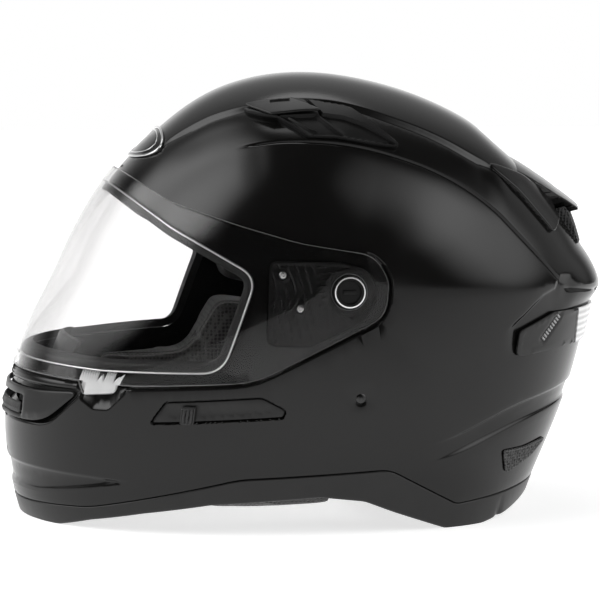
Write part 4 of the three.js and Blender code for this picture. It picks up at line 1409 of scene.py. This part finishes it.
def evened(name, node, voxel, inset, rounds):
    """A CAD solid as an even, rounded mesh, a little smaller all round."""
    obj = bpy.data.objects.new(name, NODES[node].data.copy())
    obj.data.materials.clear()
    bpy.context.scene.collection.objects.link(obj)
    remesh = obj.modifiers.new("even", "REMESH")
    remesh.mode = "VOXEL"
    remesh.voxel_size = voxel
    shrink = obj.modifiers.new("inset", "DISPLACE")
    shrink.strength = -inset
    shrink.mid_level = 0
    ease = obj.modifiers.new("ease", "SMOOTH")
    ease.factor = 0.5
    ease.iterations = rounds
    applied(obj)
    attributes = obj.data.attributes
    for stale in [a.name for a in attributes if a.name.startswith("custom_normal")]:
        attributes.remove(attributes[stale])
    return obj


def inflated(obj):
    """Lets cloth swell under pressure, with no gravity, and caps how far each point may go."""
    scene = bpy.context.scene
    rest = coordinates(obj.data)
    cloth = obj.modifiers.new("cloth", "CLOTH")
    cloth.settings.quality = 4
    cloth.settings.mass = 0.3
    cloth.settings.use_pressure = True
    cloth.settings.uniform_pressure_force = CLOTH_PRESSURE
    cloth.settings.effector_weights.gravity = 0
    cloth.point_cache.frame_start = 1
    cloth.point_cache.frame_end = CLOTH_FRAMES
    for step in range(1, CLOTH_FRAMES + 1):
        scene.frame_set(step)
    graph = bpy.context.evaluated_depsgraph_get()
    swollen = coordinates(obj.evaluated_get(graph).data)
    obj.modifiers.clear()
    scene.frame_set(1)
    move = swollen - rest
    far = np.linalg.norm(move, axis=1)
    move *= np.minimum(1, CLOTH_SWELL / np.maximum(far, 1e-9))[:, None]
    obj.data.vertices.foreach_set("co", (rest + move).ravel())
    obj.data.update()
    return obj


def subdivided(obj):
    finer = obj.modifiers.new("finer", "SUBSURF")
    finer.levels = 1
    return applied(obj)


def cushion(name, node, gap, depth, width, voxel=0.004, inset=0.0022, rounds=4):
    """A padded lining with a seam pulled in. gap(points) is the distance in mm to the seam."""
    obj = subdivided(inflated(evened(name, node, voxel, inset, rounds)))
    points = coordinates(obj.data)
    normals = np.empty(len(points) * 3)
    obj.data.vertices.foreach_get("normal", normals)
    pull = depth * MM * bell(gap(points / MM), width)
    moved = points - normals.reshape(-1, 3) * pull[:, None]
    obj.data.vertices.foreach_set("co", moved.ravel())
    obj.data.update()
    return obj


def mirror_copy(obj, name):
    mesh = obj.data.copy()
    points = coordinates(mesh) * np.array([1, -1, 1])
    mesh.vertices.foreach_set("co", points.ravel())
    mesh.flip_normals()
    other = bpy.data.objects.new(name, mesh)
    bpy.context.scene.collection.objects.link(other)
    mesh.shade_smooth()
    return other


def crown_seams(points):
    """Two seams from front to back and one from ear to ear."""
    x, y, z = points.T
    lengthwise = np.abs(np.abs(y) - 26)
    crosswise = np.abs(x - 20 + 0.15 * (z - 150))
    return np.minimum(lengthwise, crosswise)


comfort = cushion("comfort_lining", "comfort_liner", crown_seams, depth=2.2, width=3.0,
                  voxel=0.0045, rounds=3)
finish_piece(comfort, "helmet", "lining_fabric", "comfort_liner")


def cheek_seams(points):
    """The seam round the pad's face and one that splits it under the ear."""
    x, y, z = points.T
    face = np.abs(np.abs(y) - 72)
    split = np.abs(x + 42 + 0.35 * (z - 60)) + 40 * (np.abs(y) > 84)
    return np.minimum(face, split)


cheek = cushion("cheek_cushion_left", "cheek_pad_left", cheek_seams, depth=1.6, width=2.2)
cheek_right = mirror_copy(cheek, "cheek_cushion_right")
finish_piece(cheek, "helmet", "lining_fabric", "cheek_pad_left")
finish_piece(cheek_right, "helmet", "lining_fabric", "cheek_pad_right")


def neck_seams(points):
    """A seam across the roll on each side."""
    return np.abs(np.abs(points[:, 1]) - 30)


roll_pad = cushion("neck_cushion", "neck_roll", neck_seams, depth=1.6, width=2.4, inset=0.002)
finish_piece(roll_pad, "helmet", "lining_fabric", "neck_roll")

foam_shell = evened("foam_shell", "impact_liner", 0.004, 0.0002, 6)
finish_piece(foam_shell, "helmet", "foam", "impact_liner")
chin_pad = evened("chin_bar_foam", "chin_foam", 0.003, 0.0002, 6)
finish_piece(chin_pad, "helmet", "foam", "chin_foam")

DEFLECTOR_HALF = 44
DEFLECTOR = rounded([
    (-FAR, 60), (-124, 60, 6), (-120, 84, 8), (-136, 92, 10), (-FAR, 112),
])
deflector = whole("breath_guard", DEFLECTOR, -23, -20.5, roll=0.8, spacing=0.02,
                  cut=lambda base: np.abs(base[:, 1]) < DEFLECTOR_HALF)
finish_piece(deflector, "helmet", "seal_rubber", "breath_deflector")

# ---- Chin strap -----------------------------------------------------------------------------

STRAP_WIDTH, STRAP_THICK = 20, 1.8
HANG = [(113, 84), (110.5, 60), (106, 42), (99, 30), (87, 25.5)]
RING_LOOP = [(-20, 21.8), (-9.2, 21.8), (-9.2, 32.4), (-17, 32.4), (-22, 26.4), (-32, 25.8)]
FASTENED_TAIL = [(12, 21.8), (-3.5, 21.8), (-3.5, 32.4), (14, 32.4), (40, 30), (57, 29.5)]


def strap(name, path):
    """Flat webbing along a path of (y, z), with thinner selvedges."""
    line = dense(eased(np.array(path, float)), False, 1.5)
    ahead = np.gradient(line, axis=0)
    ahead /= np.linalg.norm(ahead, axis=1)[:, None]
    normal = np.column_stack([-ahead[:, 1], ahead[:, 0]])
    half = STRAP_WIDTH / 2
    across = [-half, -half + 0.6, -half + 2.2, 0, half - 2.2, half - 0.6, half]
    thick = [0.5, 0.8, 1.0, 1.0, 1.0, 0.8, 0.5]

    def face_of(sign):
        rows = []
        for point, out in zip(line, normal):
            offsets = [out * sign * share * STRAP_THICK / 2 for share in thick]
            rows.append([(STRAP_X + x, *(point + offset)) for x, offset in zip(across, offsets)])
        return rows

    points, faces = two_faced(face_of(1), face_of(-1))
    return new_object(name, points, faces, 50)


left_path = [(-y, z) for y, z in HANG] + [(-50, 22.6)] + RING_LOOP
right_path = HANG + [(50, 22.2)] + FASTENED_TAIL
finish_piece(strap("chin_strap_left", left_path), "helmet", "webbing", "strap_left")
finish_piece(strap("chin_strap_right", right_path), "helmet", "webbing", "strap_right")

RING_WIRE, RING_BAR_Y, RING_HALF, RING_REACH = 3, -14, 17, 20
for word, level in (("inner", 25.5), ("outer", 29)):
    half = RING_HALF - RING_WIRE / 2
    reach = RING_REACH - RING_WIRE
    turns = np.linspace(0, math.pi, 33)
    bow = [(STRAP_X + half * math.cos(t), RING_BAR_Y + RING_WIRE / 2 + reach * math.sin(t), level)
           for t in turns]
    bar_points = np.linspace(bow[-1], bow[0], 14)[1:-1]
    ring = ring_tube(f"strap_ring_{word}", [*bow, *map(tuple, bar_points)], RING_WIRE / 2, 14)
    finish_piece(ring, "helmet", "steel", f"d_ring_{word}")

for word, side in SIDES:
    seat = abs(place(unfold(np.array([[STRAP_X, RIVET_Z]])), 2.2)[0, 1])
    rivet = lathe(
        f"rivet_{word}",
        [(3.2, seat - 0.8), (3.2, seat - 0.1), (2.6, seat + 0.5), (1.6, seat + 0.8), (0.1, seat + 0.9)],
        STRAP_X, RIVET_Z, side, 32, 50,
    )
    finish_piece(rivet, "helmet", "steel", f"strap_rivet_{word}")

# ---- Materials ------------------------------------------------------------------------------


class Paint:
    """A Principled material with its textures laid out in object space, in metres."""

    def __init__(self, name, colour, roughness, **fixed):
        self.material = bpy.data.materials.new(name)
        self.material.use_nodes = True
        self.tree = self.material.node_tree
        self.shader = self.tree.nodes["Principled BSDF"]
        self.shader.inputs["Base Color"].default_value = (*colour, 1)
        self.shader.inputs["Roughness"].default_value = roughness
        for socket, value in fixed.items():
            self.shader.inputs[socket.replace("_", " ")].default_value = value
        self.space = self.tree.nodes.new("ShaderNodeTexCoord").outputs["Object"]
        self.height = None

    def node(self, kind, **settings):
        made = self.tree.nodes.new(kind)
        for key, value in settings.items():
            setattr(made, key, value)
        return made

    def link(self, a, b):
        self.tree.links.new(a, b)

    def noise(self, scale, detail=3.0):
        made = self.node("ShaderNodeTexNoise")
        made.inputs["Scale"].default_value = scale
        made.inputs["Detail"].default_value = detail
        self.link(self.space, made.inputs["Vector"])
        return made.outputs["Fac"]

    def cells(self, scale, randomness, feature="F1"):
        made = self.node("ShaderNodeTexVoronoi", feature=feature)
        made.inputs["Scale"].default_value = scale
        made.inputs["Randomness"].default_value = randomness
        self.link(self.space, made.inputs["Vector"])
        return made.outputs["Distance"]

    def stripes(self, pitch, direction):
        made = self.node("ShaderNodeTexWave", bands_direction=direction)
        made.inputs["Scale"].default_value = 0.314 / pitch
        made.inputs["Distortion"].default_value = 0
        self.link(self.space, made.inputs["Vector"])
        return made.outputs["Fac"]

    def spread(self, value, low, high, from_low=0.3, from_high=0.7):
        made = self.node("ShaderNodeMapRange")
        limits = {"From Min": from_low, "From Max": from_high, "To Min": low, "To Max": high}
        for socket, number in limits.items():
            made.inputs[socket].default_value = number
        self.link(value, made.inputs["Value"])
        return made.outputs["Result"]

    def combine(self, a, b, operation):
        made = self.node("ShaderNodeMath", operation=operation)
        self.link(a, made.inputs[0])
        self.link(b, made.inputs[1])
        return made.outputs[0]

    def colour(self, value, dark, light):
        ramp = self.node("ShaderNodeValToRGB")
        ramp.color_ramp.elements[0].color = (*dark, 1)
        ramp.color_ramp.elements[1].color = (*light, 1)
        self.link(value, ramp.inputs["Fac"])
        self.link(ramp.outputs["Color"], self.shader.inputs["Base Color"])
        return self

    def roughness(self, value):
        self.link(value, self.shader.inputs["Roughness"])
        return self

    def bump(self, value, strength, distance):
        made = self.node("ShaderNodeBump")
        made.inputs["Strength"].default_value = strength
        made.inputs["Distance"].default_value = distance
        self.link(value, made.inputs["Height"])
        if self.height:
            self.link(self.height, made.inputs["Normal"])
        self.height = made.outputs["Normal"]
        self.link(self.height, self.shader.inputs["Normal"])
        return self


def grey(value, warm=0.0):
    return value * (1 + warm), value, value * (1 - warm)


gloss = Paint("gloss_black_paint", grey(0.004), 0.16, IOR=1.39)
gloss.colour(gloss.noise(60), grey(0.0035, 0.04), grey(0.005, 0.04))
gloss.roughness(gloss.spread(gloss.noise(14, 5), 0.13, 0.2))
gloss.bump(gloss.noise(420, 2), 0.03, 0.0002)

satin = Paint("satin_black_plastic", grey(0.008), 0.36, IOR=1.4)
satin.colour(satin.noise(90), grey(0.006), grey(0.010, 0.03))
satin.roughness(satin.spread(satin.noise(40, 4), 0.28, 0.4))
satin.bump(satin.cells(1500, 1.0), 0.05, 0.0001)

moulded = Paint("moulded_black_plastic", grey(0.004), 0.4, IOR=1.3)
moulded.colour(moulded.noise(120), grey(0.003), grey(0.005, 0.03))
moulded.roughness(moulded.spread(moulded.noise(60, 4), 0.34, 0.42))

rubber = Paint("seal_rubber_black", grey(0.014), 0.6)
rubber.colour(rubber.noise(150), grey(0.011), grey(0.019))
rubber.roughness(rubber.spread(rubber.noise(80), 0.5, 0.68))
rubber.bump(rubber.noise(1800, 2), 0.25, 0.0001)

# Bright grey, partly metallic: a painted highlight, put on the eyeport gasket's bead and on a ring of
# each pivot hub.
painted_highlight = Paint("painted_highlight_bead", grey(0.85), 0.2, Metallic=0.6)
painted_highlight.colour(painted_highlight.noise(60), grey(0.8), grey(0.95))
painted_highlight.bump(painted_highlight.noise(500), 0.1, 0.0001)

foam = Paint("moulded_bead_foam", grey(0.02), 0.8)
foam.colour(foam.cells(330, 1.0), grey(0.03), grey(0.012))
foam.bump(foam.cells(330, 1.0), 0.5, 0.0006)

lining = Paint("brushed_lining", grey(0.02), 0.9, Sheen_Weight=0.5, Sheen_Roughness=0.5)
knit = lining.combine(lining.stripes(0.0013, "X"), lining.stripes(0.0013, "Z"), "MULTIPLY")
lining.colour(knit, grey(0.01), grey(0.034, 0.03))
lining.bump(knit, 0.5, 0.0004).bump(lining.noise(120), 0.3, 0.001)

mesh_cloth = Paint("mesh_cloth", grey(0.03), 0.85, Sheen_Weight=0.4, Sheen_Roughness=0.4)
holes = mesh_cloth.spread(mesh_cloth.cells(430, 0.15), 0, 1, 0.25, 0.5)
mesh_cloth.colour(holes, grey(0.006), grey(0.05, 0.02))
mesh_cloth.bump(holes, 0.7, 0.0005).bump(mesh_cloth.noise(90), 0.3, 0.001)

web = Paint("strap_webbing", grey(0.02), 0.8, Sheen_Weight=0.3)
twill = web.combine(web.stripes(0.0016, "DIAGONAL"), web.stripes(0.0011, "X"), "MULTIPLY")
web.colour(twill, grey(0.008), grey(0.04))
web.bump(twill, 0.7, 0.0004)

steel = Paint("brushed_steel", grey(0.55), 0.3, Metallic=1.0)
steel.colour(steel.noise(300), grey(0.45), grey(0.62))
steel.roughness(steel.spread(steel.noise(700), 0.22, 0.38))
steel.bump(steel.noise(900), 0.1, 0.0001)

dark_steel = Paint("blackened_steel", grey(0.05), 0.3, Metallic=1.0)
dark_steel.colour(dark_steel.noise(300), grey(0.03), grey(0.07))
dark_steel.roughness(dark_steel.spread(dark_steel.noise(500), 0.2, 0.35))

badge_metal = Paint("badge_chrome", grey(0.75), 0.18, Metallic=1.0)
badge_metal.colour(badge_metal.noise(200), grey(0.62), grey(0.8))
badge_metal.roughness(badge_metal.spread(badge_metal.noise(500), 0.12, 0.24))

grille = Paint("dark_wire_mesh", grey(0.02), 0.5)
wires = grille.spread(grille.cells(560, 0.0), 0, 1, 0.3, 0.55)
grille.colour(wires, grey(0.003), grey(0.05))
grille.bump(wires, 0.8, 0.0006)

tick = Paint("pale_vent_mesh", grey(0.25), 0.4)
tick.colour(tick.noise(700), grey(0.14), grey(0.4))
tick.bump(tick.noise(1500), 0.3, 0.0002)

clear = Paint("clear_polycarbonate", (0.9, 0.895, 0.895), 0.02, Transmission_Weight=1.0, IOR=1.24)
clear.roughness(clear.spread(clear.noise(30, 5), 0.005, 0.03))

# Opaque grey for the shield's rims and walls: a painted highlight standing in for the light that its
# clear edges catch.
shield_edge_highlight = Paint("painted_highlight_shield_edge", grey(0.3), 0.25)
shield_edge_highlight.colour(shield_edge_highlight.noise(80), grey(0.2), grey(0.35))

smoke = Paint("smoke_polycarbonate", (0.22, 0.23, 0.24), 0.03, Transmission_Weight=1.0, IOR=1.45)
smoke.roughness(smoke.spread(smoke.noise(30, 5), 0.01, 0.05))

frosted_tab = Paint("frosted_polycarbonate", grey(0.8), 0.3, Transmission_Weight=0.3)
frosted_tab.colour(frosted_tab.noise(200), grey(0.75), grey(0.85))
window_lens = Paint("frosted_lens", (0.9, 0.9, 0.9), 0.2, Transmission_Weight=0.2)
window_lens.colour(window_lens.stripes(0.0035, "Z"), (0.6, 0.6, 0.6), (0.95, 0.95, 0.95))

LOOKS = {
    "gloss_black": gloss, "satin_black": satin, "seal_rubber": rubber, "foam": foam,
    "lining_fabric": lining, "webbing": web, "steel": steel, "badge_metal": badge_metal,
    "grille": grille, "clear_lens": clear, "smoke_lens": smoke,
}
SPECIAL_LOOKS = {
    "gasket_bead": painted_highlight, "rear_vent_window": window_lens, "rear_vent_mesh": tick,
    "rivet": dark_steel, "cheek_cushion": mesh_cloth, "mechanism_plate": moulded,
    "pivot_hub": moulded, "hub_key": moulded, "breath_guard": moulded, "crown_scoop": moulded,
}


def paint_all():
    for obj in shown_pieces():
        look = None
        for start, special in SPECIAL_LOOKS.items():
            if obj.name.startswith(start):
                look = special
        if look is None:
            look = LOOKS[obj.get("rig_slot", "satin_black")]
        obj.data.materials.clear()
        obj.data.materials.append(look.material)


paint_all()


def paint_edges(obj, look, depth):
    """The rolled rim and walls of a plate take a second material; on the shield it is an opaque grey
    painted highlight.
    """
    obj.data.materials.append(look.material)
    points = coordinates(obj.data) / MM
    for face in obj.data.polygons:
        corner = points[list(face.vertices)]
        centre = corner.mean(0)
        normal = np.cross(corner[1] - corner[0], corner[2] - corner[0])
        length = np.linalg.norm(normal)
        if length < 1e-9:
            continue
        flat = unfold(centre[None, [0, 2]])
        du, dv = chart_slopes(flat)
        skin = np.cross(du[0], dv[0])
        skin = skin / np.linalg.norm(skin)
        if centre[1] > 0:
            skin = skin * np.array([1, -1, 1])
        if abs(normal.dot(skin) / length) < depth:
            face.material_index = 1


def paint_where(obj, look, chosen):
    """The faces whose centre, in millimetres, passes the test take another material."""
    obj.data.materials.append(look.material)
    slot = len(obj.data.materials) - 1
    points = coordinates(obj.data) / MM
    for face in obj.data.polygons:
        if chosen(points[list(face.vertices)].mean(0)):
            face.material_index = slot


def on_tab(centre):
    return centre[1] < 0 and centre[2] < 87 and shield_tab.inside(centre[None, [0, 2]])[0]


# The ring of each pivot hub that takes the bright paint: a painted highlight.
def on_painted_highlight_ring(centre):
    radius = math.hypot(centre[0] - PIVOT_X, centre[2] - PIVOT_Z)
    return HUB_RADIUS - 1.3 < radius < HUB_RADIUS - 0.6


# The shield's rims and walls take the grey painted highlight.
paint_edges(shield, shield_edge_highlight, 0.8)
paint_where(shield, frosted_tab, on_tab)
# A ring on each pivot hub is painted bright, as a painted highlight.
for hub in hubs:
    paint_where(hub, painted_highlight, on_painted_highlight_ring)

# ---- Stage and light ------------------------------------------------------------------------

scene = bpy.context.scene
scene.view_settings.view_transform = "Standard"

FLOOR_SIZE = 6.0              # metres from the helmet to each edge
# Strength of the floor's glow, which is painted light.
FLOOR_GLOW = (0.2, 0.72)      # far in front of the helmet, and under it and behind


def add_floor():
    mesh = bpy.data.meshes.new("floor")
    corners = [(x * FLOOR_SIZE, y * FLOOR_SIZE, 0) for x, y in ((-1, -1), (1, -1), (1, 1), (-1, 1))]
    mesh.from_pydata(corners, [], [(0, 1, 2, 3)])
    floor = bpy.data.objects.new("floor", mesh)
    scene.collection.objects.link(floor)
    paint = Paint("pale_floor_painted_glow", grey(0.6), 0.9, IOR=1.1)
    paint.colour(paint.noise(3), grey(0.58), grey(0.62))
    # The floor glows, brighter under the helmet and behind it than far in front: painted light on its
    # surface.
    paint.shader.inputs["Emission Color"].default_value = (1, 1, 1, 1)
    split = paint.node("ShaderNodeSeparateXYZ")
    paint.link(paint.space, split.inputs[0])
    glow = paint.spread(split.outputs["Y"], *FLOOR_GLOW, -1.0, -0.3)
    paint.link(glow, paint.shader.inputs["Emission Strength"])
    mesh.materials.append(paint.material)


# Soft boxes painted on the sky: azimuth from the camera's side towards the helmet's rear,
# elevation, inner and outer half-angle in degrees, and brightness.
SOFT_BOXES = [
    (-97, 38, 14, 38, 3.1), (-75, 36, 6, 22, 1.3),
    (62, 28, 8, 34, 2.2), (45, 42, 6, 30, 1.0), (108, 20, 5, 24, 0.4),
    (168, 40, 10, 45, 0.4),
]
DARK_SKY = 0.03


def add_sky():
    """A white surround for the camera, and a dark studio with soft boxes for everything else."""
    world = bpy.data.worlds.new("studio")
    scene.world = world
    world.use_nodes = True
    tree = world.node_tree
    tree.nodes.clear()
    link = tree.links.new

    def math_node(operation, a, b):
        made = tree.nodes.new("ShaderNodeMath")
        made.operation = operation
        for socket, value in zip(made.inputs, (a, b)):
            if isinstance(value, (int, float)):
                socket.default_value = value
            else:
                link(value, socket)
        return made.outputs[0]

    def eased_range(value, low, high, to_low, to_high):
        made = tree.nodes.new("ShaderNodeMapRange")
        made.interpolation_type = "SMOOTHSTEP"
        link(value, made.inputs["Value"])
        limits = {"From Min": low, "From Max": high, "To Min": to_low, "To Max": to_high}
        for socket, number in limits.items():
            made.inputs[socket].default_value = number
        return made.outputs["Result"]

    direction = tree.nodes.new("ShaderNodeTexCoord").outputs["Generated"]
    total = None
    for azimuth, rise, inner, outer, bright in SOFT_BOXES:
        a, e = math.radians(azimuth), math.radians(rise)
        centre = (math.sin(a) * math.cos(e), -math.cos(a) * math.cos(e), math.sin(e))
        dot = tree.nodes.new("ShaderNodeVectorMath")
        dot.operation = "DOT_PRODUCT"
        link(direction, dot.inputs[0])
        dot.inputs[1].default_value = centre
        glow = eased_range(dot.outputs["Value"], math.cos(math.radians(outer)),
                           math.cos(math.radians(inner)), 0, bright)
        total = glow if total is None else math_node("ADD", total, glow)
    parts = tree.nodes.new("ShaderNodeSeparateXYZ")
    link(direction, parts.inputs[0])
    behind = eased_range(parts.outputs["Y"], 0.5, 0.95, 0, 1)
    low_down = eased_range(parts.outputs["Z"], 0.45, 0.0, 0, 1)
    backdrop = math_node("MULTIPLY", behind, low_down)
    total = math_node("ADD", math_node("ADD", total, backdrop), DARK_SKY)
    surround, white = [tree.nodes.new("ShaderNodeBackground") for _ in range(2)]
    for background in (surround, white):
        background.inputs["Color"].default_value = (1, 1, 1, 1)
    link(total, surround.inputs["Strength"])
    path = tree.nodes.new("ShaderNodeLightPath")
    mix = tree.nodes.new("ShaderNodeMixShader")
    link(path.outputs["Is Camera Ray"], mix.inputs["Fac"])
    link(surround.outputs[0], mix.inputs[1])
    link(white.outputs[0], mix.inputs[2])
    out = tree.nodes.new("ShaderNodeOutputWorld")
    link(mix.outputs[0], out.inputs["Surface"])


def add_lamp(name, place_at, target, size, power_watts):
    data = bpy.data.lights.new(name, "AREA")
    data.shape = "DISK"
    data.size = size
    data.energy = power_watts
    lamp = bpy.data.objects.new(name, data)
    scene.collection.objects.link(lamp)
    lamp.location = place_at
    aim(lamp, target)


add_floor()
add_sky()
add_lamp("top_light", (0.1, 0.9, 2.4), (0, 0, 0.1), 1.4, 8)
